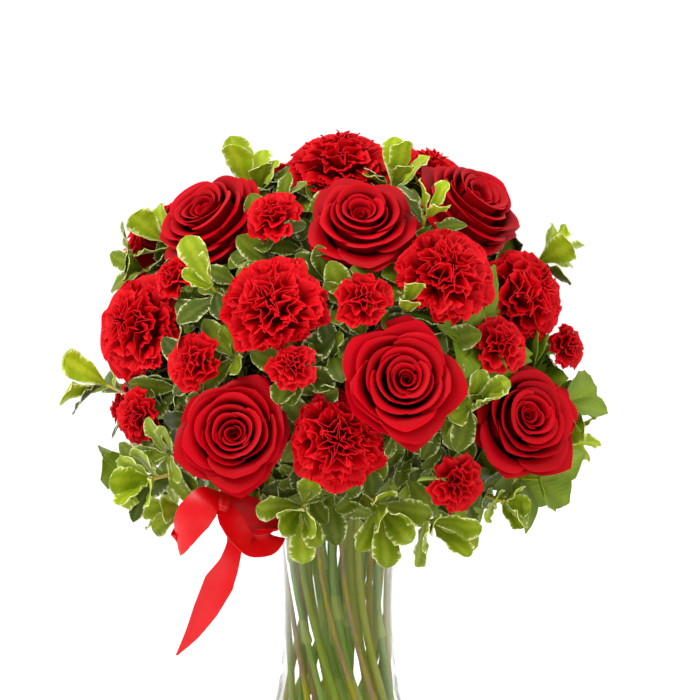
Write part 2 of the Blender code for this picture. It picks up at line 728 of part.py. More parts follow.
def whorl(name, route, count, length, broad, block, own):
    """Leaves round the end of a twig. Each takes the first lie that is clear of everything near it."""
    along = unit(route[-1] - route[-2])
    frame = frame_along(along)
    draw = random.Random(name)
    turn = draw.uniform(0, 360)
    blade = BROAD_BLADE if broad else PITTOSPORUM_BLADE
    half_share = BROAD_HALF if broad else PITTOSPORUM_HALF
    waves = BROAD_WAVE if broad else PITTOSPORUM_WAVE
    found = []
    for n in range(count):
        size = length * draw.uniform(*LEAF_SIZES)
        curl = draw.uniform(*LEAF_CURLS)
        wave = draw.uniform(*waves)
        root = route[-1] - along * (ROOT_FIRST + ROOT_STEP * (n % ROOT_LEVELS))
        for attempt in range(LEAF_TRIES):
            lie = math.radians(turn + 360 * n / count + (attempt % 5 - 2) * TURN_TRY)
            spread = math.radians(LEAF_SPREADS[n % 2] + (attempt % 4 - 1.5) * SPREAD_TRY)
            radial = frame[:, 0] * math.cos(lie) + frame[:, 1] * math.sin(lie)
            out = along * math.cos(spread) + radial * math.sin(spread)
            normal = unit(along - out * (along @ out))
            reach = size * (1 - SHRINK_TRY * attempt)
            half = reach * half_share
            shape = leaf_shape(root, out, normal, reach, half, blade, curl, wave)
            start = root + out * (LEAF_FREE + ROOT_SUNK) - normal * LEAF_CLEAR
            wide = half + LEAF_CLEAR
            deep = BLADE_THICK + 2 * LEAF_CLEAR
            test = leaf_shape(start, out, normal, reach - LEAF_FREE, wide, blade, curl, wave, deep)
            test_tree = tree_of([test])
            if test_tree.overlap(block) or tree_of([shape]).overlap(block):
                continue
            if own and test_tree.overlap(tree_of(own)):
                continue
            found.append(shape)
            own.append(shape)
            break
    return found


# Joining

def fuse(name, body, additions, finish):
    """Joins what grows from a body into it as one solid, by one Boolean union on a collection."""
    obj = add_object(name, body, finish)
    if not additions:
        return obj
    group = bpy.data.collections.new(name + "_parts")
    bpy.context.scene.collection.children.link(group)
    for n, shape in enumerate(additions):
        part = add_object(f"{name}_part_{n}", shape, finish)
        bpy.context.scene.collection.objects.unlink(part)
        group.objects.link(part)
    apply_boolean(obj, "UNION", group)
    return obj


def apply_boolean(obj, operation, group):
    join = obj.modifiers.new("join", "BOOLEAN")
    join.operation = operation
    join.operand_type = "COLLECTION"
    join.collection = group
    bpy.context.view_layer.update()
    graph = bpy.context.evaluated_depsgraph_get()
    joined = bpy.data.meshes.new_from_object(obj.evaluated_get(graph))
    obj.modifiers.clear()
    obj.data = joined
    for part in list(group.objects):
        bpy.data.objects.remove(part, do_unlink=True)
    bpy.data.collections.remove(group)
    keep_largest(obj)


def keep_largest(obj):
    """Drops a loose scrap that a union left."""
    made = bmesh.new()
    made.from_mesh(obj.data)
    left, islands = set(made.verts), []
    while left:
        island, edge = set(), [left.pop()]
        while edge:
            vert = edge.pop()
            island.add(vert)
            for link in vert.link_edges:
                other = link.other_vert(vert)
                if other in left:
                    left.remove(other)
                    edge.append(other)
        islands.append(island)
    islands.sort(key=len)
    for island in islands[:-1]:
        bmesh.ops.delete(made, geom=list(island), context="VERTS")
    made.to_mesh(obj.data)
    made.free()


# Vase and water

def turned_solid(name, profile, finish):
    """A solid turned round the vase's axis from (radius, height) points that run from axis to axis."""
    made = bmesh.new()
    verts = [made.verts.new((r * METRE, 0, z * METRE)) for r, z in profile]
    edges = [made.edges.new(pair) for pair in zip(verts, verts[1:])]
    bmesh.ops.spin(
        made,
        geom=verts + edges,
        cent=(0, 0, 0),
        axis=(0, 0, 1),
        angle=2 * math.pi,
        steps=VASE_SIDES,
        use_merge=True,
    )
    bmesh.ops.remove_doubles(made, verts=made.verts, dist=1e-6)
    bmesh.ops.recalc_face_normals(made, faces=made.faces)
    mesh = bpy.data.meshes.new(name)
    made.to_mesh(mesh)
    made.free()
    mesh.materials.append(finish)
    mesh.shade_smooth()
    mesh.set_sharp_from_angle(angle=math.radians(35))
    obj = bpy.data.objects.new(name, mesh)
    bpy.context.scene.collection.objects.link(obj)
    return obj


# The inner wall starts this far over the floor, which is a little wider than the foot
WALL_START, FLOOR_SPREAD = 4.0, 2.0
# Crown of the rounded rim, and how far its inner edge lies under the lip
RIM_CROWN, RIM_DROP = 1.0, 0.6


def build_vase(finish):
    """A heavy-bottomed glass: round shoulder near the foot, slim waist and a flared, rounded lip."""
    outside = [(0.0, 0.0), *VASE_OUTSIDE]
    low = VASE_FLOOR + WALL_START
    inside = [(r - VASE_WALL, z) for r, z in VASE_OUTSIDE if low < z < VASE_HEIGHT]
    lip = VASE_OUTSIDE[-1][0]
    rim = [(lip - VASE_WALL / 2, VASE_HEIGHT + RIM_CROWN), (lip - VASE_WALL, VASE_HEIGHT - RIM_DROP)]
    floor = [(VASE_OUTSIDE[0][0] + FLOOR_SPREAD, VASE_FLOOR), (0.0, VASE_FLOOR)]
    return turned_solid("vase", outside + rim + inside[::-1] + floor, finish)


def build_water(stems, finish):
    """Water up to its level, with a plain hole for each stem that stands in it."""
    low = VASE_FLOOR + WALL_START
    wall = [(r - VASE_WALL - GAP, z) for r, z in VASE_OUTSIDE if low < z < WATER_LEVEL]
    bottom = VASE_FLOOR + GAP
    foot = VASE_OUTSIDE[0][0] + FLOOR_SPREAD - 2 * GAP
    top = vase_inside(WATER_LEVEL) - GAP
    profile = [(0.0, bottom), (foot, bottom), *wall, (top, WATER_LEVEL), (0.0, WATER_LEVEL)]
    water = turned_solid("water", profile, finish)
    holes = bpy.data.collections.new("stem_holes")
    bpy.context.scene.collection.children.link(holes)
    for name, stem in stems.items():
        if stem["parent"]:
            continue
        foot_point, throat = stem["route"][:2]
        down = unit(foot_point - throat)
        route = [foot_point + down * (FOOT_Z - VASE_FLOOR) * 3, throat]
        hole = outward(tube(route, [stem["radius"] + HOLE_CLEARANCE] * 2, STEM_SIDES))
        part = add_object("hole_" + name, hole, finish)
        bpy.context.scene.collection.objects.unlink(part)
        holes.objects.link(part)
    apply_boolean(water, "DIFFERENCE", holes)
    return water


# Bow

def strip(route, widths, sides_way):
    """A flat ribbon along a route; sides_way gives the direction of its width at each point."""
    route = np.array(route, float)
    steps = np.gradient(route, axis=0)
    points, faces = [], []
    for place, step, width, way in zip(route, steps, widths, sides_way):
        step = unit(step)
        way = unit(np.array(way, float) - step * np.dot(step, way))
        thick = np.cross(step, way) * RIBBON_THICK / 2
        for a, b in ((-1, -1), (1, -1), (1, 1), (-1, 1)):
            points.append(place + way * a * width / 2 + thick * b)
    for r in range(len(route) - 1):
        for s in range(4):
            after = (s + 1) % 4
            a, b, c, d = 4 * r + s, 4 * r + after, 4 * r + 4 + after, 4 * r + 4 + s
            faces += [(a, b, c), (a, c, d)] if s < 2 else [(a, b, d), (b, c, d)]
    faces.append((3, 2, 1, 0))
    last = len(points)
    faces.append((last - 4, last - 3, last - 2, last - 1))
    return outward((points, faces))


# Each run of ribbon as (place from the knot, share of the full width, the way its width lies)
BOW_RUNS = {
    "left_loop": (
        ((0, -2, 0), 0.30, (-0.2, 0.3, 0.9)),
        ((-12, -7, 0), 0.72, (-0.4, 0.3, 0.8)),
        ((-25, -8, -13), 0.92, (-0.3, 0.2, 0.9)),
        ((-34, -2, -25), 0.80, (0, 0.2, 1)),
        ((-28, 5, -22), 0.84, (0, 0.3, 1)),
        ((-13, 5, -9), 0.66, (-0.2, 0.4, 0.9)),
        ((0, 2, 0), 0.30, (-0.2, 0.3, 0.9)),
    ),
    "right_loop": (
        ((0, -3, -2), 0.30, (1, 0.6, 0.3)),
        ((6, -9, -17), 0.66, (1, 0.8, 0.5)),
        ((14, -12, -27), 0.75, (0.6, 1, 0.4)),
        ((25, -9, -30), 0.84, (0.3, 1, 0.3)),
        ((32, -2, -20), 0.84, (-0.2, 1, 0.3)),
        ((26, 2, -6), 0.75, (-0.3, 1, 0.4)),
        ((12, 3, 2), 0.54, (0, 0.8, 0.8)),
        ((0, 2, 0), 0.30, (0, 1, 1)),
    ),
    "tail": (
        ((1, 1, -3), 0.30, (1, 0.3, 0.2)),
        ((6, 3, -14), 0.38, (1, 0.5, 0.2)),
        ((6, 3, -27), 0.38, (1, 0.3, 0.3)),
        ((0, 1, -45), 0.60, (0.85, 0.2, -0.5)),
        ((-10, -1, -63), 0.84, (0.85, 0.1, -0.5)),
        ((-21, 0, -80), 0.64, (0.85, 0.2, -0.5)),
        ((-36, 2, -99), 0.06, (0.8, 0.2, -0.6)),
    ),
}
# The bow's band goes round this stretch of its stem, and a narrow strap joins the two
BOW_STEM, BOW_HOLD = "rose_4", 3
BAND_SIDES, BAND_WIDTH, BAND_THICK = 9, 6.0, 1.0
STRAP_WIDTHS = (5.0, 4.0)
KNOT_RADII, KNOT_SIDES = (5.0, 6.4, 5.0), 8


def build_bow(stems, finish):
    """Knot, two loops and a tail, held by a narrow band of the same ribbon tied round a stem."""
    knot = np.array(BOW_KNOT)
    pieces = []
    for run in BOW_RUNS.values():
        places, shares, ways = zip(*run)
        widths = [share * RIBBON_WIDTH for share in shares]
        pieces.append(strip([knot + place for place in places], widths, ways))
    stem = stems[BOW_STEM]
    low, high = stem["route"][BOW_HOLD : BOW_HOLD + 2]
    hold, way = (low + high) / 2, unit(high - low)
    frame = frame_along(way)
    inner = stem["radius"] + GAP + RIBBON_THICK
    ring = []
    for n in range(BAND_SIDES):
        a = 2 * math.pi * n / BAND_SIDES
        ring.append(hold + inner * (frame[:, 0] * math.cos(a) + frame[:, 1] * math.sin(a)))
    near = min(ring, key=lambda point: np.linalg.norm(point - knot))
    pieces.append(strip([knot, near], STRAP_WIDTHS, ((1, 0, 0), (1, 0, 0))))
    pieces.append(closed_band(ring, hold, way))
    return fuse("ribbon_bow", rounded_knot(knot), pieces, finish)


def closed_band(ring, centre, way):
    """A flat band closed round a stem."""
    points, faces = [], []
    for place in ring:
        out = unit(place - centre)
        for a, b in ((-1, -1), (1, -1), (1, 1), (-1, 1)):
            points.append(place + way * a * BAND_WIDTH / 2 + out * b * BAND_THICK / 2)
    count = len(ring)
    for r in range(count):
        for s in range(4):
            after = (s + 1) % 4
            low, high = 4 * r, 4 * ((r + 1) % count)
            faces.append((low + s, low + after, high + after, high + s))
    return outward((points, faces))


def rounded_knot(middle):
    """The knot: a small pinched roll of ribbon."""
    route = [middle + (-1, -5, -5), middle + (0, -3, 0), middle + (1, 3, 5)]
    return outward(tube(route, KNOT_RADII, KNOT_SIDES))


def finishes():
    """The materials of the pieces, by the name of their finish."""
    return {
        "rose_red": material("rose_red", (0.62, 0.0, 0.02), 0.55),
        "carnation_red": material("carnation_red", (0.78, 0.01, 0.02), 0.65),
        "stem_green": material("stem_green", (0.16, 0.27, 0.06), 0.5),
        "variegated_leaf": material("variegated_leaf", (0.24, 0.34, 0.10), 0.45),
        "broad_leaf": material("broad_leaf", (0.16, 0.30, 0.05), 0.4),
        "clear_glass": material("clear_glass", (0.92, 0.96, 0.95), 0.03, 0.25),
        "water": material("water", (0.85, 0.93, 0.92), 0.02, 0.2),
        "red_satin": material("red_satin", (0.80, 0.01, 0.01), 0.35),
    }


def shape_of(obj):
    """An object's mesh as (points in millimetres, faces)."""
    points = np.array([tuple(v.co / METRE) for v in obj.data.vertices])
    return points, [tuple(p.vertices) for p in obj.data.polygons]


def build_all():
    clear_scene()
    finish = finishes()
    heads = all_heads()
    press_heads(heads)
    stems = all_stems(heads)
    settle_stems(stems, heads)

    solid = []
    for name, head in heads.items():
        shape = outward((head["points"], head["faces"]))
        colour = "rose_red" if head["kind"] == "rose" else "carnation_red"
        add_object(name, shape, finish[colour])
        solid.append(shape)
    solid.append(shape_of(build_vase(finish["clear_glass"])))
    build_water(stems, finish["water"])
    solid.append(shape_of(build_bow(stems, finish["red_satin"])))

    shapes = {name: stem_shape(stem, heads.get(name)) for name, stem in stems.items()}
    families = {}
    for name, stem in stems.items():
        families.setdefault(stem["family"], []).append(name)
    whorls = {**PITTOSPORUM, **BROAD_LEAVES}
    for family, names in families.items():
        body, additions = shapes[names[0]], [shapes[name] for name in names[1:]]
        colour = "stem_green"
        if family in whorls:
            broad = family in BROAD_LEAVES
            colour = "broad_leaf" if broad else "variegated_leaf"
            others = [shape for name, shape in shapes.items() if name not in names]
            own = []
            for name, (_, _, count, length) in zip(names, whorls[family]):
                twigs = [shapes[other] for other in names if other != name]
                block = tree_of(solid + others + twigs)
                additions += whorl(name, stems[name]["route"], count, length, broad, block, own)
            solid += own
        fuse(family, body, additions, finish[colour])


build_all()
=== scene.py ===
"""A round bouquet of red roses, carnations and mini carnations with variegated and broad leaves, standing in
a clear glass vase of water, with a red satin bow at its front left.

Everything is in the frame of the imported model: the origin is the centre of the vase's underside, +Z is up and
-Y is the front. Shapes are worked out in millimetres, and piece() turns them into metres.
"""

import json
import math
import random

import bmesh
import bpy
import numpy as np
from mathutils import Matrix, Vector

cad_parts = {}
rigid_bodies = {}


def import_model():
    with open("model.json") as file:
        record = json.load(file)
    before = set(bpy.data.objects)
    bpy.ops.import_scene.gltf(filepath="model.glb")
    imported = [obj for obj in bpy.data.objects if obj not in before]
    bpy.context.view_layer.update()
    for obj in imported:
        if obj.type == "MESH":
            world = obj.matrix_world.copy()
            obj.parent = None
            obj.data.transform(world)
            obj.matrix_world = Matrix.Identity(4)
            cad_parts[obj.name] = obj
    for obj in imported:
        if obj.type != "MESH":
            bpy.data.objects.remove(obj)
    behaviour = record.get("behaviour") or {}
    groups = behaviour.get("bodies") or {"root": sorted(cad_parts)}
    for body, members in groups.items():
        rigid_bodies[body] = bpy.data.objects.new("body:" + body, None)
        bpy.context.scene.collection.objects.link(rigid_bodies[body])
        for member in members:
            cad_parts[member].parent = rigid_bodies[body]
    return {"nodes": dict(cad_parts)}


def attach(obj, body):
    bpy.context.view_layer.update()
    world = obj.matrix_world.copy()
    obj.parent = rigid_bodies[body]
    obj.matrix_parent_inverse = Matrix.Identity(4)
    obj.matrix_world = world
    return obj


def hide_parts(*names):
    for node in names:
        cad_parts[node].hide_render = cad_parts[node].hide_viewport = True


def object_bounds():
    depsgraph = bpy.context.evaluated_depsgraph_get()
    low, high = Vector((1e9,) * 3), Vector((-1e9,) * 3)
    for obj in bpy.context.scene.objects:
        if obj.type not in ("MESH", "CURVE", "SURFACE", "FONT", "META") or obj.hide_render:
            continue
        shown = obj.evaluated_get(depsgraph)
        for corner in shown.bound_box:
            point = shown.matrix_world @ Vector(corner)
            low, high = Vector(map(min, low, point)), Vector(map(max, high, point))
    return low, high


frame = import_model()
cad_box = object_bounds()

# Vase: a pressed vase of clear glass with a heavy floor, a round shoulder near its foot, a slim waist and a
# flared lip. It is drawn up ring by ring from its foot, over the rounded rim and down the inner wall.
MM = 0.001
GLASS_WALL, GLASS_FLOOR, FLOOR_ROUND = 2.4, 8.0, 4.0
VASE_OUTSIDE = (
    (41.0, 0.0),
    (48.5, 5.0),
    (51.0, 18.0),
    (49.6, 38.0),
    (44.0, 66.0),
    (39.6, 110.0),
    (39.6, 137.0),
    (43.0, 178.0),
    (48.0, 200.0),
)
VASE_SIDES = 96
# The rim's turn from outside to inside in degrees, and the floor's rings as (radius, height over the floor)
RIM_TURNS = (40, 70, 90, 110, 140)
FLOOR_RINGS = ((45.4, 1.6), (43.0, 0.0), (20.0, -0.2), (1.0, -0.3))


def smooth_line(points, steps):
    """A smooth line through some points, with that many steps from each to the next."""
    p = np.asarray(points, float)
    chords = np.linalg.norm(np.diff(p, axis=0), axis=1)[:, None]
    slopes = np.diff(p, axis=0) / chords
    inner = (slopes[:-1] * chords[1:] + slopes[1:] * chords[:-1]) / (chords[:-1] + chords[1:])
    slopes = np.vstack((slopes[:1], inner, slopes[-1:]))
    t = np.linspace(0, 1, steps, endpoint=False)[:, None]
    spans = []
    for a, b, m, n, chord in zip(p, p[1:], slopes, slopes[1:], chords):
        ease = t * t * (3 - 2 * t)
        spans.append(a + ease * (b - a) + t * (1 - t) ** 2 * m * chord - t * t * (1 - t) * n * chord)
    return np.vstack(spans + [p[-1:]])


def finish(name, **sockets):
    """A Principled material, with its uniform values set on the shader's own sockets."""
    made = bpy.data.materials.new(name)
    made.use_nodes = True
    shader = made.node_tree.nodes["Principled BSDF"]
    for socket, value in sockets.items():
        shader.inputs[socket.replace("_", " ")].default_value = value
    return made


def add_node(material, kind, inputs=None, **settings):
    """One more node of a material. inputs maps its sockets to values or to other nodes' outputs."""
    node = material.node_tree.nodes.new(kind)
    for key, value in settings.items():
        setattr(node, key, value)
    for socket, value in (inputs or {}).items():
        if isinstance(value, bpy.types.NodeSocket):
            material.node_tree.links.new(value, node.inputs[socket])
        else:
            node.inputs[socket].default_value = value
    return node


def link(material, output, socket):
    """Joins an output to a socket of the material's shader."""
    shader = material.node_tree.nodes["Principled BSDF"]
    material.node_tree.links.new(output, shader.inputs[socket])


def drawn_up(name, rings, sides):
    """A turned body: a round foot, extruded and resized from ring to ring, and closed by its last ring."""
    bpy.ops.object.select_all(action="DESELECT")
    radius, height = (value * MM for value in rings[0])
    bpy.ops.mesh.primitive_circle_add(
        vertices=sides, radius=radius, fill_type="NGON", location=(0, 0, height)
    )
    made = bpy.context.object
    made.name = name
    bpy.ops.object.mode_set(mode="EDIT")
    for ring in rings[1:]:
        new_radius, new_height = (value * MM for value in ring)
        bpy.ops.mesh.extrude_region_move(TRANSFORM_OT_translate={"value": (0, 0, new_height - height)})
        share = new_radius / radius
        bpy.ops.transform.resize(value=(share, share, 1), center_override=(0, 0, new_height))
        radius, height = new_radius, new_height
    bpy.ops.mesh.select_all(action="SELECT")
    bpy.ops.mesh.normals_make_consistent(inside=False)
    bpy.ops.object.mode_set(mode="OBJECT")
    bpy.ops.object.transform_apply(location=True, rotation=True, scale=True)
    bpy.ops.object.shade_smooth_by_angle(angle=math.radians(50))
    return made


def clear(name, colour, bend, ripples, strength):
    """A clear material, such as glass, with slow ripples in its surface."""
    sheen = (0.15, 0.15, 0.15, 1)
    made = finish(name, Base_Color=colour, Roughness=0, Specular_Tint=sheen, IOR=bend, Transmission_Weight=1)
    place = add_node(made, "ShaderNodeTexCoord")
    waves = add_node(made, "ShaderNodeTexNoise", {"Vector": place.outputs["Object"], **ripples})
    relief = {"Strength": strength, "Distance": 0.002, "Height": waves.outputs[0]}
    link(made, add_node(made, "ShaderNodeBump", relief).outputs[0], "Normal")
    return made


vase_outline = smooth_line(VASE_OUTSIDE, 6)
lip_radius, lip_height = VASE_OUTSIDE[-1]
vase_rings = [tuple(ring) for ring in vase_outline]
for turn in RIM_TURNS:
    crown = math.radians(turn)
    across = lip_radius - GLASS_WALL / 2 * (1 - math.cos(crown))
    vase_rings.append((across, lip_height + math.sin(crown)))
for radius, height in vase_outline[::-1]:
    if GLASS_FLOOR + FLOOR_ROUND < height < lip_height:
        vase_rings.append((radius - GLASS_WALL, height))
vase_rings += [(radius, GLASS_FLOOR + over) for radius, over in FLOOR_RINGS]
vase = drawn_up("fine_vase", vase_rings, VASE_SIDES)
clear_glass = clear("clear_glass", (0.99, 1, 0.995, 1), 1.5, {"Scale": 18.0, "Detail": 1.0}, 0.04)
vase.data.materials.append(clear_glass)
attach(vase, "root")
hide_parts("vase")

# Water: fills the vase to below its lip and stands a little higher where it meets the glass. The stems stand
# in it. It is drawn up in the same way, a hair's breadth inside the wall.
WATER_LEVEL, WATER_GAP, MENISCUS, MENISCUS_RUN = 186.0, 0.3, 1.2, 1.3

water_rings = [(40.0, GLASS_FLOOR + WATER_GAP), (42.3, GLASS_FLOOR + WATER_GAP + 0.4)]
for radius, height in vase_outline:
    if GLASS_FLOOR + FLOOR_ROUND < height < WATER_LEVEL:
        water_rings.append((radius - GLASS_WALL - WATER_GAP, height))
wall = np.interp(WATER_LEVEL, vase_outline[:, 1], vase_outline[:, 0]) - GLASS_WALL - WATER_GAP
for inward in (0.0, 0.5, 1.2, 2.2, 3.6, 6.0):
    water_rings.append((wall - inward, WATER_LEVEL - MENISCUS * (1 - math.exp(-inward / MENISCUS_RUN))))
water_rings.append((1.0, WATER_LEVEL - MENISCUS))
water = drawn_up("fine_water", water_rings, VASE_SIDES)
water.data.materials.append(clear("clear_water", (0.99, 1, 0.992, 1), 1.333, {"Scale": 30.0}, 0.02))
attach(water, "root")
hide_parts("water")

# Where the blooms stand: a dome of roses, carnations and sprays of mini carnations. Each is held at
# (middle x, y, z), looks towards (yaw from the front, pitch above level) and has its widest radius last.
ROSES = {
    "rose_1": ((-84, -55, 384), (-42, 42), 40),
    "rose_2": ((17, -92, 382), (3, 42), 40),
    "rose_3": ((87, -44, 392), (50, 42), 41),
    "rose_4": ((-67, -118, 250), (-4, 12), 41),
    "rose_5": ((40, -138, 283), (5, 12), 43),
    "rose_6": ((122, -72, 253), (26, 13), 41),
    "rose_7": ((-112, 84, 300), (-128, 14), 43),
    "rose_8": ((38, 132, 270), (165, 8), 44),
    "rose_9": ((34, 84, 384), (158, 46), 43),
}
CARNATIONS = {
    "carnation_1": ((1, -28, 422), (-5, 60), 37),
    "carnation_2": ((-131, -54, 315), (-40, 14), 37),
    "carnation_3": ((-41, -126, 330), (-12, 22), 37),
    "carnation_4": ((69, -110, 352), (20, 26), 35),
    "carnation_5": ((122, -54, 336), (42, 20), 37),
    "carnation_6": ((0, -124, 246), (2, 0), 35),
    "carnation_7": ((60, 16, 411), (30, 54), 36),
    "carnation_8": ((-122, 26, 368), (-108, 34), 37),
    "carnation_9": ((100, 92, 338), (134, 24), 37),
    "carnation_10": ((-52, 130, 250), (-160, 0), 38),
    "carnation_11": ((136, 36, 264), (102, 2), 37),
    "carnation_12": ((-52, 62, 400), (-145, 56), 37),
}
SPRAYS = {
    "spray_stem_1": {
        "mini_3": ((-92, -108, 294), (-28, 8), 21),
        "mini_5": ((-131, -66, 256), (-38, -2), 20),
        "mini_9": ((-107, -80, 349), (-40, 28), 18),
    },
    "spray_stem_2": {
        "mini_2": ((16, -134, 336), (4, 14), 20),
        "mini_1": ((-41, -98, 389), (-14, 36), 20),
        "mini_4": ((-29, -144, 295), (4, 14), 17),
    },
    "spray_stem_3": {
        "mini_6": ((105, -92, 305), (24, 20), 21),
        "mini_7": ((153, -38, 302), (46, 12), 17),
        "mini_8": ((77, -108, 216), (16, -4), 20),
    },
    "spray_stem_4": {
        "mini_10": ((-22, 138, 330), (-172, 20), 20),
        "mini_11": ((112, 84, 266), (128, 0), 20),
        "mini_12": ((-143, 6, 256), (-92, -4), 20),
    },
}
# Depth from a bloom's middle back to its seat, the seat's radius, the length of the hip or calyx below it and
# the stem's radius, and the gap between a bloom and what it stands on
SEATS = {"rose": (27.0, 7.5, 13.0, 2.9), "carnation": (21.0, 6.0, 24.0, 2.4), "mini": (11.0, 3.6, 13.0, 1.6)}
GAP = 0.3


def unit(vector):
    return vector / np.linalg.norm(vector)


def facing(yaw, pitch):
    """The direction of a look, given in degrees from the front and above level."""
    yaw, pitch = math.radians(yaw), math.radians(pitch)
    return np.array((math.sin(yaw) * math.cos(pitch), -math.cos(yaw) * math.cos(pitch), math.sin(pitch)))


def frame_along(direction, roll=0.0):
    """A 3x3 matrix whose columns are across, up and along the direction."""
    upright = (0, 0, 1) if abs(direction[2]) < 0.97 else (0, 1, 0)
    across = unit(np.cross(upright, direction))
    up = np.cross(direction, across)
    c, s = math.cos(roll), math.sin(roll)
    return np.stack((across * c + up * s, up * c - across * s, direction), axis=1)


blooms = {}
minis = {name: bloom for spray in SPRAYS.values() for name, bloom in spray.items()}
for kind, group in (("rose", ROSES), ("carnation", CARNATIONS), ("mini", minis)):
    for name, (middle, look, radius) in group.items():
        middle = np.array(middle, float)
        blooms[name] = {"kind": kind, "middle": middle, "along": facing(*look), "radius": radius}

# Branches of foliage: each whorl of leaves ends a twig at (tip x, y, z) that points (yaw, pitch). The first
# whorl of a branch ends its main stem, and the others end twigs that leave it over the lip.
PITTOSPORUM = {
    "pittosporum_1": (((-124, -84, 216), (-46, -18)), ((-156, -36, 276), (-78, 4))),
    "pittosporum_2": (
        ((-24, -94, 198), (-12, -36)),
        ((-108, -70, 196), (-50, -34)),
        ((-6, -116, 296), (0, 20)),
    ),
    "pittosporum_3": (
        ((28, -96, 198), (14, -40)),
        ((62, -92, 188), (30, -42)),
        ((44, -126, 334), (30, 20)),
    ),
    "pittosporum_4": (
        ((110, -68, 200), (52, -26)),
        ((148, -20, 238), (78, -6)),
        ((88, -108, 268), (30, 8)),
    ),
    "pittosporum_5": (
        ((-58, -16, 404), (-58, 56)),
        ((-118, -18, 372), (-80, 26)),
        ((-82, -104, 344), (-36, 24)),
    ),
    "pittosporum_6": (((36, -46, 410), (24, 56)), ((140, -2, 360), (84, 30)), ((58, -84, 390), (30, 40))),
    "pittosporum_7": (((70, 92, 200), (145, -30)), ((134, 62, 214), (112, -20)), ((72, 128, 322), (150, 18))),
    "pittosporum_8": (
        ((-12, 104, 200), (180, -32)),
        ((-98, 84, 212), (-135, -22)),
        ((-72, 112, 344), (-145, 28)),
    ),
}
BROAD_LEAVES = {
    "broad_leaves_1": (
        ((150, -36, 262), (62, 0)),
        ((134, -58, 214), (54, -10)),
        ((80, -84, 310), (30, 20)),
    ),
    "broad_leaves_2": (
        ((-140, 30, 220), (-104, -14)),
        ((0, 138, 294), (-175, 14)),
        ((-70, 60, 352), (-120, 40)),
    ),
}

# Stems: cut to one length and leaning round the vase's axis as a hand-tied spiral does, straight from foot to
# throat and then bending out to their blooms. Where two would cross, both give way, as they do in the hand.
FOOT_Z, THROAT_Z, LIP_Z = 9.1, 162.0, 207.0
# Rings of stems as (radius at the throat, foot radius over that, lean in degrees, share of even spacing)
OUTER_RING = (31.0, 1.1, 70.0, 0.7)
INNER_RING = (22.0, 1.1, 70.0, 0.7)
BUNCH = (12.5, 1.12, 125.0, 1.0)
LIP_SPREAD, STEEP_RISE, HIGH_TWIG = 1.14, 38.0, 45.0
TWIG, BRANCH = 1.5, 2.3
STEM_CLEARANCE = 1.1
FOOT_ROOM, THROAT_ROOM, LIP_ROOM = 1.5, 1.2, 2.0
NECK_HEIGHTS, LIP_BAND, LIP_LIFT = (110, 137), (42, 54), 2.5
MAIN_FREE, TWIG_FREE = 3, 1
MAIN_SHARES, TWIG_SHARES = (0.0, 0.36, 0.7, 1.0), (0.0, 0.45, 1.0)
SETTLE_ROUNDS, CLEAR_SHARE, HEAD_SHARE, HOME_PULL, STIFFNESS = 260, 0.6, 0.7, 0.02, 0.06
HEAD_CORE, HEAD_FORWARD, HEAD_GAP = 0.86, 3.0, 1.0


def polar(radius, turn):
    turn = math.radians(turn)
    return np.array((radius * math.sin(turn), -radius * math.cos(turn)))


def turn_of(point):
    return math.degrees(math.atan2(point[0], -point[1]))


def curve_points(handles, shares):
    """Points of a cubic curve at some shares of its way."""
    found = []
    for t in shares:
        weights = ((1 - t) ** 3, 3 * t * (1 - t) ** 2, 3 * t * t * (1 - t), t**3)
        found.append(sum(w * h for w, h in zip(weights, handles)))
    return found


def stem_route(seat, along, turn, ring):
    """Foot, throat and lip in the vase, then a curve that leans out and ends square under the bloom."""
    neck, foot_share, lean, _ = ring
    lip = np.array((*polar(neck * LIP_SPREAD, turn), LIP_Z))
    reach = np.linalg.norm(seat - lip)
    out = np.array((*polar(0.45, turn), 1.0))
    handles = (lip, lip + out * reach * 0.36, seat - along * reach * 0.42, seat)
    points = [(*polar(neck * foot_share, turn + lean), FOOT_Z), (*polar(neck, turn), THROAT_Z)]
    return np.array(points + curve_points(handles, MAIN_SHARES))


def seat_of(bloom):
    """Where the stem ends: the foot of the hip or calyx under a bloom."""
    depth, _, length, _ = SEATS[bloom["kind"]]
    return bloom["middle"] - bloom["along"] * (depth + length + GAP)


def main_ends():
    """The family, name, end, direction and radius of every stem that stands in the vase."""
    ends = []
    for name, bloom in blooms.items():
        if bloom["kind"] != "mini":
            family = "stem_of_" + name if bloom["kind"] == "rose" else "carnation_stems"
            ends.append((family, name, seat_of(bloom), bloom["along"], SEATS[bloom["kind"]][3]))
    for family, spray in SPRAYS.items():
        name = next(iter(spray))
        ends.append((family, name, seat_of(blooms[name]), blooms[name]["along"], BRANCH))
    for family, whorls in {**PITTOSPORUM, **BROAD_LEAVES}.items():
        tip, look = whorls[0]
        ends.append((family, family + "_twig_0", np.array(tip, float), facing(*look), BRANCH))
    return ends


def ring_of(family, end):
    """Carnations stand in the middle, blooms high in the dome round them, and low ones outside."""
    if family == "carnation_stems":
        return BUNCH
    rise = math.degrees(math.atan2(end[2] - LIP_Z, math.hypot(end[0], end[1])))
    return INNER_RING if rise > STEEP_RISE else OUTER_RING


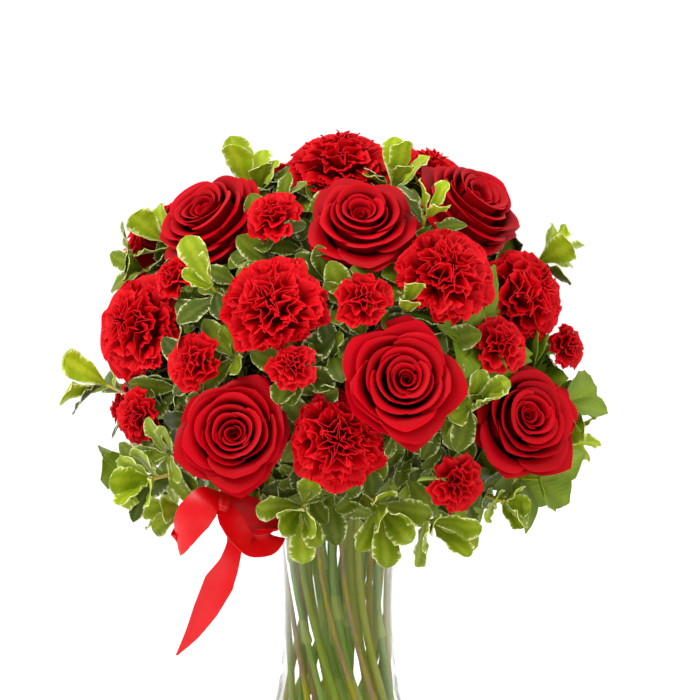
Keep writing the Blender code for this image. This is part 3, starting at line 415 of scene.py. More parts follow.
def first_routes():
    """Every stem and side twig with its first route. A twig names its parent and the point it leaves."""
    stems = {}
    ends = main_ends()
    for ring in (BUNCH, INNER_RING, OUTER_RING):
        mine = [end for end in ends if ring_of(end[0], end[2]) == ring]
        mine.sort(key=lambda end: turn_of(end[2]))
        own = [turn_of(end[2]) for end in mine]
        step = 360.0 / len(mine)
        start = sum(turn - n * step for n, turn in enumerate(own)) / len(mine)
        for n, (family, name, end, along, radius) in enumerate(mine):
            turn = own[n] + ring[3] * (start + n * step - own[n])
            stems[name] = {"family": family, "route": stem_route(end, along, turn, ring), "radius": radius}
    for family, spray in SPRAYS.items():
        main, *others = spray
        for name in others:
            along = blooms[name]["along"]
            add_twig(stems, name, main, family, seat_of(blooms[name]), along, SEATS["mini"][3])
    for family, whorls in {**PITTOSPORUM, **BROAD_LEAVES}.items():
        for n, (tip, look) in enumerate(whorls[1:], 1):
            main = family + "_twig_0"
            add_twig(stems, f"{family}_twig_{n}", main, family, np.array(tip, float), facing(*look), TWIG)
    return stems


def add_twig(stems, name, main, family, end, along, radius):
    """A side twig that curves up to its end from where its parent passes the lip, or from the next point."""
    joint = 3 if end[2] > LIP_Z + HIGH_TWIG else 2
    start = stems[main]["route"][joint]
    reach = np.linalg.norm(end - start)
    handles = (start, start + (0, 0, reach * 0.2), end - along * reach * 0.4, end)
    route = np.array(curve_points(handles, TWIG_SHARES))
    stems[name] = {"family": family, "route": route, "radius": radius, "parent": main, "joint": joint}


def nearest_shares(a, u, c, v):
    """For pairs of segments from a along u and from c along v, how far along each the nearest points lie."""
    w = a - c
    uu, vv, uv = (u * u).sum(1), (v * v).sum(1), (u * v).sum(1)
    uw, vw = (u * w).sum(1), (v * w).sum(1)
    flat = np.maximum(uu * vv - uv * uv, 1e-9)
    s = np.clip((uv * vw - vv * uw) / flat, 0, 1)
    t = np.clip((uv * s + vw) / vv, 0, 1)
    s = np.clip((uv * t - uw) / uu, 0, 1)
    return s, t


def keep_in_vase(route, radius):
    """The foot, throat and lip points stay clear of the glass."""

    def inside(height):
        return np.interp(height, [z for _, z in VASE_OUTSIDE], [r - GLASS_WALL for r, _ in VASE_OUTSIDE])

    foot_room = VASE_OUTSIDE[0][0] - radius - FOOT_ROOM
    throat_room = min(inside(z) for z in NECK_HEIGHTS) - radius - THROAT_ROOM
    lip_room = inside(lip_height) - radius - LIP_ROOM
    for point, room in zip(route[:3], (foot_room, throat_room, lip_room)):
        out = math.hypot(point[0], point[1])
        if out > room:
            point[:2] *= room / out


def settled(stems):
    """Stems that would cross move apart, inside the glass, over its lip and out of other blooms."""
    names = list(stems)
    starts = np.cumsum([0] + [len(stems[name]["route"]) for name in names])
    place = np.concatenate([stems[name]["route"] for name in names])
    low, radius, family, owner = [], [], [], []
    fixed = np.zeros((len(place), 3))
    home = place.copy()
    families = {}
    for n, name in enumerate(names):
        stem = stems[name]
        number = families.setdefault(stem["family"], len(families))
        spans = len(stem["route"]) - 1
        low += list(range(starts[n], starts[n + 1] - 1))
        radius += [stem["radius"]] * spans
        family += [number] * spans
        owner += [n] * spans
        if name in blooms:
            fixed[starts[n + 1] - 1] = 1
        if "parent" not in stem:
            fixed[starts[n] : starts[n] + 3, 2] = 1
    low, radius, family, owner = (np.array(values) for values in (low, radius, family, owner))
    one, two = np.triu_indices(len(low), 1)
    apart = family[one] != family[two]
    one, two = one[apart], two[apart]
    need = radius[one] + radius[two] + STEM_CLEARANCE
    keys = list(blooms)
    middles = np.array([blooms[key]["middle"] + blooms[key]["along"] * HEAD_FORWARD for key in keys])
    sizes = np.array([blooms[key]["radius"] * HEAD_CORE for key in keys])
    own_bloom = np.array([keys.index(name) if name in blooms else -1 for name in names])[owner]
    seg, ball = np.meshgrid(np.arange(len(low)), np.arange(len(keys)), indexing="ij")
    others = own_bloom[seg] != ball
    seg, ball = seg[others], ball[others]
    for _ in range(SETTLE_ROUNDS):
        move, count = np.zeros_like(place), np.full(len(place), 1e-9)

        def push(index, share, step):
            for point, part in ((low[index], 1 - share), (low[index] + 1, share)):
                np.add.at(move, point, step * part[:, None])
                np.add.at(count, point, part)

        foot = place[low]
        span = place[low + 1] - foot
        s, t = nearest_shares(foot[one], span[one], foot[two], span[two])
        gap = foot[one] + s[:, None] * span[one] - (foot[two] + t[:, None] * span[two])
        size = np.linalg.norm(gap, axis=1) + 1e-6
        hit = size < need
        step = gap[hit] / size[hit, None] * (need - size)[hit, None] * CLEAR_SHARE
        push(one[hit], s[hit], step)
        push(two[hit], t[hit], -step)

        a, run = foot[seg], span[seg]
        share = np.clip(((middles[ball] - a) * run).sum(1) / (run**2).sum(1), 0, 1)
        gap = a + share[:, None] * run - middles[ball]
        size = np.linalg.norm(gap, axis=1) + 1e-6
        lack = sizes[ball] + radius[seg] + HEAD_GAP - size
        hit = lack > 0
        push(seg[hit], share[hit], gap[hit] / size[hit, None] * lack[hit, None] * HEAD_SHARE)

        for share in (0.0, 0.25, 0.5, 0.75, 1.0):
            point = foot + share * span
            out = np.hypot(point[:, 0], point[:, 1])
            lack = lip_height + LIP_LIFT + radius - point[:, 2]
            hit = (out > LIP_BAND[0]) & (out < LIP_BAND[1]) & (lack > 0)
            step = np.zeros((hit.sum(), 3))
            step[:, 2] = lack[hit]
            push(np.nonzero(hit)[0], np.full(hit.sum(), share), step)

        step = move / np.maximum(count, 0.4)[:, None] + HOME_PULL * (home - place)
        place += step * (1 - fixed)
        for n, name in enumerate(names):
            stem = stems[name]
            mine = place[starts[n] : starts[n + 1]]
            free = TWIG_FREE if "parent" in stem else MAIN_FREE
            bend = (mine[free - 1 : -2] + mine[free + 1 :]) / 2 - mine[free:-1]
            mine[free:-1] += STIFFNESS * bend
            if "parent" in stem:
                mine[0] = place[starts[names.index(stem["parent"])] + stem["joint"]]
            else:
                keep_in_vase(mine, stem["radius"])
    for n, name in enumerate(names):
        stems[name]["route"] = place[starts[n] : starts[n + 1]].copy()
    return stems


stems = settled(first_routes())


def sheet(grid, thick, tint):
    """A thin closed body on a grid of points, with v along its rows and u across: points, faces, uv, tint."""
    rows, columns = grid.shape[:2]
    normal = np.cross(np.gradient(grid, axis=1), np.gradient(grid, axis=0))
    normal /= np.linalg.norm(normal, axis=2)[:, :, None] + 1e-9
    index = np.arange(rows * columns).reshape(rows, columns)
    front = np.stack((index[:-1, :-1], index[:-1, 1:], index[1:, 1:], index[1:, :-1]), axis=-1).reshape(-1, 4)
    border = np.concatenate((index[0], index[1:, -1], index[-1, -2::-1], index[-2:0:-1, 0]))
    after = np.roll(border, -1)
    shift = rows * columns
    walls = np.stack((border, border + shift, after + shift, after), axis=-1)
    faces = np.concatenate((front, front[:, ::-1] + shift, walls)).tolist()
    points = np.concatenate((grid + normal * thick / 2, grid - normal * thick / 2)).reshape(-1, 3)
    v, u = np.meshgrid(np.linspace(0, 1, rows), np.linspace(0, 1, columns), indexing="ij")
    return points, faces, np.tile(np.stack((u, v), axis=-1).reshape(-1, 2), (2, 1)), tint


def run_along(line):
    """The length run to each point of a line."""
    return np.concatenate(([0], np.cumsum(np.linalg.norm(np.diff(line, axis=0), axis=1))))


def rod(line, radii, sides, tint):
    """A round rod along a line, closed at both ends: points, faces, uv, tint."""
    line = np.asarray(line, float)
    tangents = np.gradient(line, axis=0)
    tangents /= np.linalg.norm(tangents, axis=1)[:, None]
    angles = np.linspace(0, 2 * math.pi, sides, endpoint=False)
    across = unit(np.cross(tangents[0], (0.31, 0.95, 0.02)))
    rings = []
    for place, tangent, radius in zip(line, tangents, radii):
        across = unit(across - tangent * (across @ tangent))
        up = np.cross(tangent, across)
        rings.append(place + radius * (np.outer(np.cos(angles), across) + np.outer(np.sin(angles), up)))
    points = np.concatenate(rings + [line[:1], line[-1:]])
    index = np.arange(len(line) * sides).reshape(len(line), sides)
    after = np.roll(index, -1, axis=1)
    faces = np.stack((index[:-1], after[:-1], after[1:], index[1:]), axis=-1).reshape(-1, 4).tolist()
    foot, top = len(points) - 2, len(points) - 1
    faces += [(foot, int(after[0, n]), int(index[0, n])) for n in range(sides)]
    faces += [(top, int(index[-1, n]), int(after[-1, n])) for n in range(sides)]
    length = run_along(line) / 100
    uv = np.stack((np.tile(np.linspace(0, 1, sides), len(line)), np.repeat(length, sides)), axis=-1)
    return points, faces, np.vstack((uv, (0, length[0]), (0, length[-1]))), tint


low_corner, high_corner = (np.array(corner) / MM for corner in cad_box)
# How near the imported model's box points start to be drawn in, and how far past it they may have been
BOX_EDGE, BOX_OVER = 8.0, 1.6
SMOOTH_ANGLE = math.radians(75)


def drawn_in(points):
    """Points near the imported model's box, drawn in a little so that none passes it."""
    for corner, side in ((low_corner, -1), (high_corner, 1)):
        near = np.clip(side * (points - corner) + BOX_EDGE, 0, None)
        points = points - side * near * BOX_OVER / (BOX_EDGE + BOX_OVER)
    return points


def piece(name, groups, nodes):
    """One object from {material: shapes}, where a shape is (points in millimetres, faces, uv, tint)."""
    points, faces, uvs, tints, slots, start = [], [], [], [], [], 0
    for number, shapes in enumerate(groups.values()):
        for some, these, uv, tint in shapes:
            points.append(drawn_in(some))
            faces += [[start + n for n in face] for face in these]
            uvs.append(uv)
            tints.append(np.full(len(some), tint))
            slots += [number] * len(these)
            start += len(some)
    points, uvs, tints = np.concatenate(points), np.concatenate(uvs), np.concatenate(tints)
    mesh = bpy.data.meshes.new(name)
    mesh.from_pydata((points * MM).tolist(), [], faces)
    corners = np.zeros(len(mesh.loops), np.int32)
    mesh.loops.foreach_get("vertex_index", corners)
    mesh.uv_layers.new(name="UVMap").data.foreach_set("uv", uvs[corners].astype(np.float32).ravel())
    mesh.attributes.new("tint", "FLOAT", "POINT").data.foreach_set("value", tints.astype(np.float32))
    for material in groups:
        mesh.materials.append(material)
    mesh.polygons.foreach_set("material_index", slots)
    mesh.shade_smooth()
    mesh.set_sharp_from_angle(angle=SMOOTH_ANGLE)
    obj = bpy.data.objects.new("fine_" + name, mesh)
    bpy.context.scene.collection.objects.link(obj)
    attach(obj, "root")
    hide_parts(*nodes)
    return obj


def summed(material, terms, base=0.0):
    """The sum of some outputs, each by its weight."""
    total = None
    for output, weight in terms:
        part = add_node(material, "ShaderNodeMath", operation="MULTIPLY_ADD")
        part.inputs[1].default_value = weight
        material.node_tree.links.new(output, part.inputs[0])
        if total is None:
            part.inputs[2].default_value = base
        else:
            material.node_tree.links.new(total, part.inputs[2])
        total = part.outputs[0]
    return total


def pattern(material, along=0.0, tint=0.0, noise=0.0, scale=60.0, stretch=(1, 1, 1), base=0.0):
    """A value made of a piece's UV map, tint and some noise, each by its weight."""
    uv = add_node(material, "ShaderNodeUVMap", uv_map="UVMap")
    parts = add_node(material, "ShaderNodeSeparateXYZ", {"Vector": uv.outputs[0]})
    own = add_node(material, "ShaderNodeAttribute", attribute_name="tint")
    place = add_node(material, "ShaderNodeTexCoord")
    stretched = add_node(material, "ShaderNodeMapping", {"Vector": place.outputs["Object"], "Scale": stretch})
    cloud = add_node(material, "ShaderNodeTexNoise", {"Vector": stretched.outputs[0], "Scale": scale})
    terms = ((parts.outputs["Y"], along), (own.outputs["Fac"], tint), (cloud.outputs[0], noise))
    return summed(material, [term for term in terms if term[1]], base - noise / 2)


def ramp(material, value, stops):
    """Colours along a value, from (place, linear colour) stops."""
    node = add_node(material, "ShaderNodeValToRGB", {"Fac": value})
    elements = node.color_ramp.elements
    while len(elements) < len(stops):
        elements.new(1.0)
    for element, (at, colour) in zip(elements, stops):
        element.position = at
        element.color = (*colour, 1)
    return node.outputs[0]


def coloured(material, value, stops):
    """Gives a material its colour from such a ramp."""
    link(material, ramp(material, value, stops), "Base Color")


def roughen(material, value, strength, distance):
    """Bumps on a material from a value."""
    bump = add_node(material, "ShaderNodeBump", {"Height": value, "Strength": strength, "Distance": distance})
    link(material, bump.outputs[0], "Normal")


# Stems stand behind where their throat lies further back than this. Then come the girths of those and of the
# front ones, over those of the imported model.
BEHIND, SLIM_BEHIND, SLIM_FRONT = 2.0, 0.66, 0.9


def slimness(name):
    """Stems at the back of the bunch are slimmer, so that light falls between the front ones."""
    throat = stems[name]["route"][1]
    return SLIM_BEHIND if throat[1] > BEHIND else SLIM_FRONT


def smooth_stem(name):
    """A stem's smooth middle line, and the length run to each point."""
    line = smooth_line(stems[name]["route"], 9)
    return line, run_along(line)


def between(at, marks, line):
    """Points of a line at some values of its marks."""
    return np.stack([np.interp(at, marks, line[:, k]) for k in range(3)], axis=1)


def blade(root, out, normal, length, half, curl, rows=8, widest=0.5):
    """The grid of a narrow leaf, folded along its middle, that curls away from its normal."""
    across = np.cross(out, normal)
    t = np.linspace(0, 1, rows)[:, None, None]
    u = np.linspace(-1, 1, 3)[None, :, None]
    width = np.sin(math.pi * t ** (math.log(0.5) / math.log(widest))) ** 0.75 * half + 0.02 * half
    lift = 0.25 * np.abs(u) * width
    middle = root + out * (length * t * (1 - 0.12 * curl * t)) - normal * (curl * length * t * t)
    return middle + across * u * width + normal * lift * np.sin(math.pi * t) ** 0.3


def spokes(along, roll, count=5):
    """Directions square to a stem, evenly round it."""
    sides = frame_along(along, roll)
    for n in range(count):
        turn = 2 * math.pi * n / count
        yield sides[:, 0] * math.cos(turn) + sides[:, 1] * math.sin(turn)


# Rose stems: green and woody, with brown thorns that are stripped below the vase's lip. Under each bloom
# swells a hip with five sepals. Each is a rod on its route, with the thorns' and sepals' bodies set in it.
stem_green = finish("stem_green", Roughness=0.48, Specular_IOR_Level=0.45)
coloured(stem_green, pattern(stem_green, tint=0.6, noise=0.5, scale=70, stretch=(1, 1, 0.25), base=0.2), (
    (0.0, (0.24, 0.33, 0.014)),
    (0.35, (0.33, 0.52, 0.02)),
    (0.62, (0.54, 0.6, 0.025)),
    (1.0, (0.66, 0.64, 0.12)),
))
roughen(stem_green, pattern(stem_green, noise=1.0, scale=900, stretch=(1, 1, 0.08)), 0.25, 0.0004)
thorn_brown = finish("thorn_brown", Base_Color=(0.19, 0.075, 0.03, 1), Roughness=0.5)

# The hip under a rose: shares of its length, and its radius at each
HIP_SHARES = (0.12, 0.25, 0.4, 0.6, 0.8, 1.0)
HIP_RADII = (3.3, 4.6, 6.2, 7.1, 7.4, 6.9)
SEPAL_LENGTH, SEPAL_HALF, SEPAL_OUT, SEPAL_THICK = 17, 3.0, 5.6, 0.5
# Thorns: the first one's way up the stem, the step to the next, the bare end, and how each leans out and down
THORN_FIRST, THORN_STEP, THORN_BARE = 26, 24, 18
THORN_OUT, THORN_DOWN, THORN_RADII = 4.2, 1.8, (1.7, 0.8, 0.1)
for name in ROSES:
    draw = random.Random("stem " + name)
    line, run = smooth_stem(name)
    along = blooms[name]["along"]
    radius = stems[name]["radius"] * slimness(name)
    length = SEATS["rose"][2]
    radii = [radius * (1 + 0.05 * math.sin(way / 19)) for way in run]
    hip = [line[-1] + along * length * share for share in HIP_SHARES]
    shapes = [rod(np.vstack((line, hip)), radii + list(HIP_RADII), 12, draw.uniform(0.05, 0.8))]
    for radial in spokes(along, draw.uniform(0, 6)):
        out = unit(radial * 0.95 - along * draw.uniform(-0.1, 0.5))
        normal = unit(along - out * (along @ out))
        root = hip[-1] + radial * SEPAL_OUT - along * 0.8
        sepal = blade(root, out, normal, SEPAL_LENGTH, SEPAL_HALF, 0.25, widest=0.3)
        shapes.append(sheet(sepal, SEPAL_THICK, 0.7))
    thorns = []
    for way in np.arange(THORN_FIRST, run[-1] - THORN_BARE, THORN_STEP):
        n = int(np.searchsorted(run, way + draw.uniform(-8, 8)))
        if line[n][2] < LIP_Z:
            continue
        up = unit(line[n + 1] - line[n])
        around = frame_along(up, draw.uniform(0, 6))[:, 0]
        foot = line[n] + around * radius * 0.8
        tip = foot + around * THORN_OUT - up * THORN_DOWN
        thorns.append(rod([foot, foot * 0.6 + tip * 0.4, tip], THORN_RADII, 6, 0.5))
    piece("stem_of_" + name, {stem_green: shapes, thorn_brown: thorns}, ["stem_of_" + name])

# Carnation stems: grey-green, jointed canes with a swollen node every few centimetres, where a pair of narrow
# leaves clasps the stem above the lip, and a long tubular calyx with five teeth. Each is a rod on its route.
cane_green = finish("cane_green", Roughness=0.55, Specular_IOR_Level=0.35)
coloured(cane_green, pattern(cane_green, tint=0.5, noise=0.4, scale=60, stretch=(1, 1, 0.3), base=0.25), (
    (0.0, (0.27, 0.4, 0.05)),
    (0.4, (0.37, 0.57, 0.085)),
    (0.7, (0.54, 0.71, 0.13)),
    (1.0, (0.72, 0.82, 0.12)),
))
CANE_RADIUS, SIDE_CANE_RADIUS = 2.4, 1.6
# The calyx: shares of its length, and its widths there over its top
CALYX_SHARES = (0.06, 0.16, 0.35, 0.6, 0.85, 1.0)
CALYX_WIDTHS = (0.62, 0.84, 0.92, 0.92, 0.95, 1.0)
# A node's sheath: places along the cane from it, and its girths there over the cane's
NODE_WAYS = (-2.6, -1.2, 0.6, 3.0, 7.0, 12.0, 16.0)
NODE_SHARES = (1.0, 1.5, 1.62, 1.5, 1.25, 1.08, 0.94)
CANE_LEAF_HALF, CANE_LEAF_THICK = 1.9, 0.5


def cane(name, kind, thick):
    """A jointed stem with its calyx, and the pairs of leaves at its nodes."""
    draw = random.Random("stem " + name)
    line, run = smooth_stem(name)
    along = blooms[name]["along"]
    _, top, length, _ = SEATS[kind]
    first = draw.uniform(30, 60)
    nodes = np.arange(first, run[-1] - 20, draw.uniform(52, 64))
    if "parent" not in stems[name]:
        thick = thick * slimness(name)
    radii = [thick] * len(run) + [top * width for width in CALYX_WIDTHS]
    calyx = [line[-1] + along * length * share for share in CALYX_SHARES]
    shapes = [rod(np.vstack((line, calyx)), radii, 10, draw.uniform(0.2, 0.7))]
    for node in nodes:
        ways = node + np.array(NODE_WAYS)
        places = between(ways, run, line)
        shapes.append(rod(places, [thick * share for share in NODE_SHARES], 10, 1.1))
    for radial in spokes(along, draw.uniform(0, 6)):
        root = calyx[-1] + radial * top * 0.9 - along * 1.0
        out = unit(along + radial * 0.55)
        normal = unit(radial - out * (radial @ out))
        tooth = blade(root, out, normal, top * 1.1, top * 0.5, -0.1, rows=5, widest=0.35)
        shapes.append(sheet(tooth, CANE_LEAF_THICK, 0.6))
    for node in nodes:
        n = int(np.searchsorted(run, node))
        if line[n][2] < LIP_Z + 8 or n + 2 > len(line):
            continue
        up = unit(line[n] - line[n - 1])
        around = frame_along(up, draw.uniform(0, 6))[:, 0]
        for side in (around, -around):
            out = unit(up + side * draw.uniform(0.35, 0.8))
            normal = unit(side * -1 + out * (side @ out))
            size = draw.uniform(24, 36)
            leaf = blade(line[n] + side * thick, out, normal, size, CANE_LEAF_HALF, 0.3, rows=9, widest=0.35)
            shapes.append(sheet(leaf, CANE_LEAF_THICK, 0.75))
    return shapes


shapes = []
for name in CARNATIONS:
    shapes += cane(name, "carnation", CANE_RADIUS)
piece("carnation_stems", {cane_green: shapes}, ["carnation_stems"])

# Spray stems: the same canes, but branched. Each carries three mini carnations, one on its main cane and two
# on thinner side canes, which leave it above the lip.
for family, spray in SPRAYS.items():
    shapes = []
    for n, name in enumerate(spray):
        shapes += cane(name, "mini", BRANCH if n == 0 else SIDE_CANE_RADIUS)
    piece(family, {cane_green: shapes}, [family])

# Variegated branches: woody twigs with whorls of small wavy leaves, grey-green with cream margins, yellower
# when young. Their greens also carry painted light, lighter on the dome's outside, and painted shade, darker
# inside it. Each blade of the imported branch is drawn finer in its place, and side shoots fill the gaps.
bark = finish("bark", Roughness=0.75)
coloured(bark, pattern(bark, tint=0.5, noise=0.9, scale=140, stretch=(1, 1, 0.35), base=0.25), (
    (0.0, (0.44, 0.27, 0.13)),
    (0.4, (0.62, 0.4, 0.16)),
    (0.6, (0.66, 0.56, 0.012)),
    (1.0, (0.76, 0.4, 0.01)),
))
roughen(bark, pattern(bark, noise=1.0, scale=700, stretch=(1, 1, 0.3)), 0.5, 0.0006)
variegated = finish("variegated", Roughness=0.42, Specular_IOR_Level=0.16)
MIDRIB_U = 0.5


def from_midrib(material):
    """How far a point of a blade lies from its midrib, up to 0.5 on the margin, and its way to the tip."""
    uv = add_node(material, "ShaderNodeUVMap", uv_map="UVMap")
    parts = add_node(material, "ShaderNodeSeparateXYZ", {"Vector": uv.outputs[0]})
    middle = add_node(material, "ShaderNodeMath", {0: parts.outputs["X"], 1: MIDRIB_U}, operation="SUBTRACT")
    size = add_node(material, "ShaderNodeMath", {0: middle.outputs[0]}, operation="ABSOLUTE")
    return size.outputs[0], parts.outputs["Y"]


edge, way = from_midrib(variegated)
uv = add_node(variegated, "ShaderNodeUVMap", uv_map="UVMap")
stretched = add_node(variegated, "ShaderNodeMapping", {"Vector": uv.outputs[0], "Scale": (1.5, 17.0, 1.0)})
streaks = {"Vector": stretched.outputs[0], "Scale": 1.0, "Detail": 3.0}
spiked = add_node(variegated, "ShaderNodeTexNoise", streaks)
blotches = pattern(variegated, noise=1.0, scale=150, base=0.5)
margin = summed(variegated, ((edge, 2.0), (spiked.outputs[0], 0.9), (blotches, 0.4)), -0.74)
# Deep greens for old leaves and for painted shade inside the dome, light greens for young leaves and for
# painted light on its outside. The tint mixes them.
old_and_shaded = ramp(variegated, margin, (
    (0.0, (0.07, 0.094, 0.01)),
    (0.25, (0.028, 0.05, 0.003)),
    (0.55, (0.038, 0.064, 0.004)),
    (0.76, (0.068, 0.094, 0.01)),
    (0.84, (0.4, 0.42, 0.18)),
    (1.0, (0.64, 0.64, 0.37)),
))
young_and_lit = ramp(variegated, margin, (
    (0.0, (0.44, 0.52, 0.018)),
    (0.35, (0.29, 0.405, 0.007)),
    (0.74, (0.375, 0.48, 0.013)),
    (0.84, (0.7, 0.735, 0.22)),
    (1.0, (0.8, 0.8, 0.4)),
))
age_and_light = add_node(variegated, "ShaderNodeAttribute", attribute_name="tint")
ages_and_light = {"Fac": age_and_light.outputs["Fac"], "Color1": old_and_shaded, "Color2": young_and_lit}
link(variegated, add_node(variegated, "ShaderNodeMixRGB", ages_and_light).outputs[0], "Base Color")
roughen(variegated, summed(variegated, ((edge, 1.0), (blotches, 0.3))), 0.3, 0.0008)


def blades_of(node):
    """The root, bends and tip of each leaf of a node: a tip is a corner where just three edges meet."""
    made = bmesh.new()
    made.from_mesh(frame["nodes"][node].data)
    bmesh.ops.remove_doubles(made, verts=made.verts, dist=1e-6)
    made.verts.index_update()
    found = []
    for tip in made.verts:
        ring = [e.other_vert(tip) for e in tip.link_edges]
        if len(ring) != 3:
            continue
        behind = {e.other_vert(vert) for vert in ring for e in vert.link_edges} - set(ring) - {tip}
        if len(behind) != 3:
            continue
        stations = []
        for group in (sorted(behind, key=lambda vert: vert.index), ring):
            places = [np.array(vert.co) / MM for vert in group]
            pairs = ((0, 1, 2), (0, 2, 1), (1, 2, 0))
            left, right, ridge = max(pairs, key=lambda p: np.linalg.norm(places[p[0]] - places[p[1]]))
            stations.append((places[left], places[right], places[ridge]))
        found.append((stations, np.array(tip.co) / MM))
    made.free()
    return found


def row_shares(rows):
    """Where a blade's rows lie between its root and its tip, closer together towards the tip."""
    return 1 - (1 - np.linspace(0, 1, rows)) ** 1.4


# Shoots out at the sides, but for those between two heights, are young, with shorter leaves
YOUNG_OUT, OLD_HEIGHTS, YOUNG_SHARE = 100.0, (235.0, 300.0), 0.74
# Outlines of blades: where they are widest, and how blunt they end
ROUNDED, POINTED = (1.6, 0.7), (0.95, 1.1)
# A blade's root lies this near a twig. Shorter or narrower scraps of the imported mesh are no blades.
ROOT_REACH, LEAST_LENGTH, LEAST_HALF = 16, 14, 3
TIP_ROOM, BLADE_COLUMNS, SIDE_COLUMNS, SIDE_ROWS, SHOOT_ROWS = 1.5, 7, 5, 9, 10
# The end of a twig bears no side leaves or shoots, and a shoot grows from about this far behind its tip
BARE_TIP, SHOOT_REACH = 4, 34


def leaf_grids(node, whorls, wavy, rows, share=1.0, outline=ROUNDED):
    """A fine grid for each leaf of a node, from where it leaves its twig to its tip."""
    ends = []
    for n in range(len(whorls)):
        route = stems[f"{node}_twig_{n}"]["route"]
        ends.append((route[-1], unit(route[-1] - route[-2])))
    grids = []
    for stations, tip in blades_of(node):
        (l1, r1, m1), (l2, r2, m2) = stations
        near, far = (l1 + r1) / 2, (l2 + r2) / 2
        guess = near + (near - far) * 0.8
        gaps = []
        for end, along in ends:
            back = float(np.clip((end - guess) @ along, 0.5, 7.0))
            gaps.append((np.linalg.norm(end - along * back - guess), tuple(end - along * back)))
        away, root = min(gaps)
        size = np.linalg.norm(tip - np.array(root))
        half = max(np.linalg.norm(l2 - r2), np.linalg.norm(l1 - r1)) / 2
        if away > ROOT_REACH or size < LEAST_LENGTH or half < LEAST_HALF:
            continue
        draw = random.Random(f"{node} {tip[0]:.1f}")
        straight = far + unit(far - near) * np.linalg.norm(tip - far)
        tip = np.clip((tip + straight) / 2, low_corner + TIP_ROOM, high_corner - TIP_ROOM)
        old_and_shaded = abs(root[0]) < YOUNG_OUT or OLD_HEIGHTS[0] < root[2] < OLD_HEIGHTS[1]
        grown = share * (1 if old_and_shaded else YOUNG_SHARE)
        line = [np.array(root) + (np.array(place) - root) * grown for place in (root, near, far, tip)]
        line = smooth_line(line, 12)
        t = np.linspace(0, 1, len(line))
        pick = np.interp(row_shares(rows), t, np.arange(len(line)))
        middle = between(pick, np.arange(len(line)), line)
        across = unit(r2 - l2 + r1 - l1 if (r2 - l2) @ (r1 - l1) > 0 else r2 - l2)
        up = unit(m2 - far + (m1 - near))
        along = unit(tip - np.array(root))
        across = unit(across - along * (across @ along))
        normal = unit(np.cross(across, along))
        if normal @ up < 0:
            normal = -normal
        grids.append((leaf_on(middle, across, normal, half, draw, wavy, BLADE_COLUMNS, outline), draw))
    return grids


def branch_leaves(name, step, length, share, wavy, outline=ROUNDED):
    """Leaves all along a branch above the lip. One that would stand in a bloom or the glass is left out."""
    draw = random.Random("leaves " + name)
    line, run = smooth_stem(name)
    turn = draw.uniform(0, 6)
    grids = []
    for way in np.arange(step, run[-1] - BARE_TIP, step):
        n = int(np.searchsorted(run, way))
        place, up = line[n], unit(line[min(n + 1, len(line) - 1)] - line[n - 1])
        turn += GOLDEN
        if place[2] < lip_height + 3:
            continue
        for attempt in range(5):
            spread = draw.uniform(0.7, 1.25)
            size = length * draw.uniform(0.75, 1.1) * (1 - 0.06 * attempt)
            curl = draw.uniform(0.0, 0.3)
            about = turn + 1.3 * attempt
            middle, across, normal = leaning(place, up, about, spread, size, curl, SIDE_ROWS)
            if standing_free(middle[::2], middle[::2], 2, lip_height + 6, LIP_INSIDE):
                grid = leaf_on(middle, across, normal, size * share, draw, wavy, SIDE_COLUMNS, outline)
                grids.append((grid, draw))
                break
    return grids


def leaning(root, up, turn, spread, size, curl, rows):
    """The middle line, width's direction and normal of a leaf that leans out from a twig and curls away."""
    radial = frame_along(up, turn)[:, 0]
    out = up * math.cos(spread) + radial * math.sin(spread)
    normal = unit(up - out * (out @ up))
    t = row_shares(rows)[:, None]
    middle = root + out * size * t * (1 - 0.1 * curl * t) - normal * curl * size * t * t
    return middle, np.cross(out, normal), normal


def past_box(points, room):
    """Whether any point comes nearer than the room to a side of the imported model's box, or passes it."""
    return (points < low_corner + room).any() or (points > high_corner - room).any()


def standing_free(points, some, room, low, inside=-1):
    """Whether a leaf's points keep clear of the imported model's box, the blooms and the vase's lip."""
    if past_box(points, room) or (np.linalg.norm(some[:, None] - centres, axis=2) - rooms < 0).any():
        return False
    around = np.hypot(points[:, 0], points[:, 1])
    return not ((points[:, 2] < low) & (around > inside) & (around < LIP_OUTSIDE)).any()


def leaf_on(middle, across, normal, half, draw, wavy, columns, outline):
    """A blade's grid about its middle line, folded a little along it and wavy at its margin."""
    v = row_shares(len(middle))[:, None, None]
    u = np.linspace(-1, 1, columns)[None, :, None]
    width = half * (np.sin(math.pi * v ** outline[0]) ** outline[1] + 0.05)
    ripple = np.sin(2 * math.pi * (2.6 * v + 0.12 * u) + draw.uniform(0, 6)) + 0.4 * np.sin(29 * v + 3 * u)
    lift = (0.22 * np.abs(u) ** 1.2 * width + wavy * ripple * np.abs(u) ** 1.6) * np.sin(math.pi * v) ** 0.4
    rim = 1 + 0.05 * np.sin(2 * math.pi * 5.3 * v + draw.uniform(0, 6)) * (np.abs(u) > 0.8)
    return middle[:, None, :] + across * u * width * rim + normal * lift


centres = np.array([bloom["middle"] + bloom["along"] * 2 for bloom in blooms.values()])
rooms = np.array([bloom["radius"] * HEAD_CORE for bloom in blooms.values()])
LIP_INSIDE, LIP_OUTSIDE, GOLDEN = 34, 56, 2.39996
# Blades are painted lighter and yellower the further they grow from the dome's middle, seen from the front, up
# to a full reach: painted light on the dome's outside and painted shade inside it. A share of the outermost is
# young, and lighter still
MIDDLE_HEIGHT, FULL_REACH, YOUNG_BLADES, YOUNG_FROM, YOUNG_TINT = 250, 150, 0.35, 0.85, 0.4
DOME_MIDDLE = np.array((0.0, 0.0, 285.0))
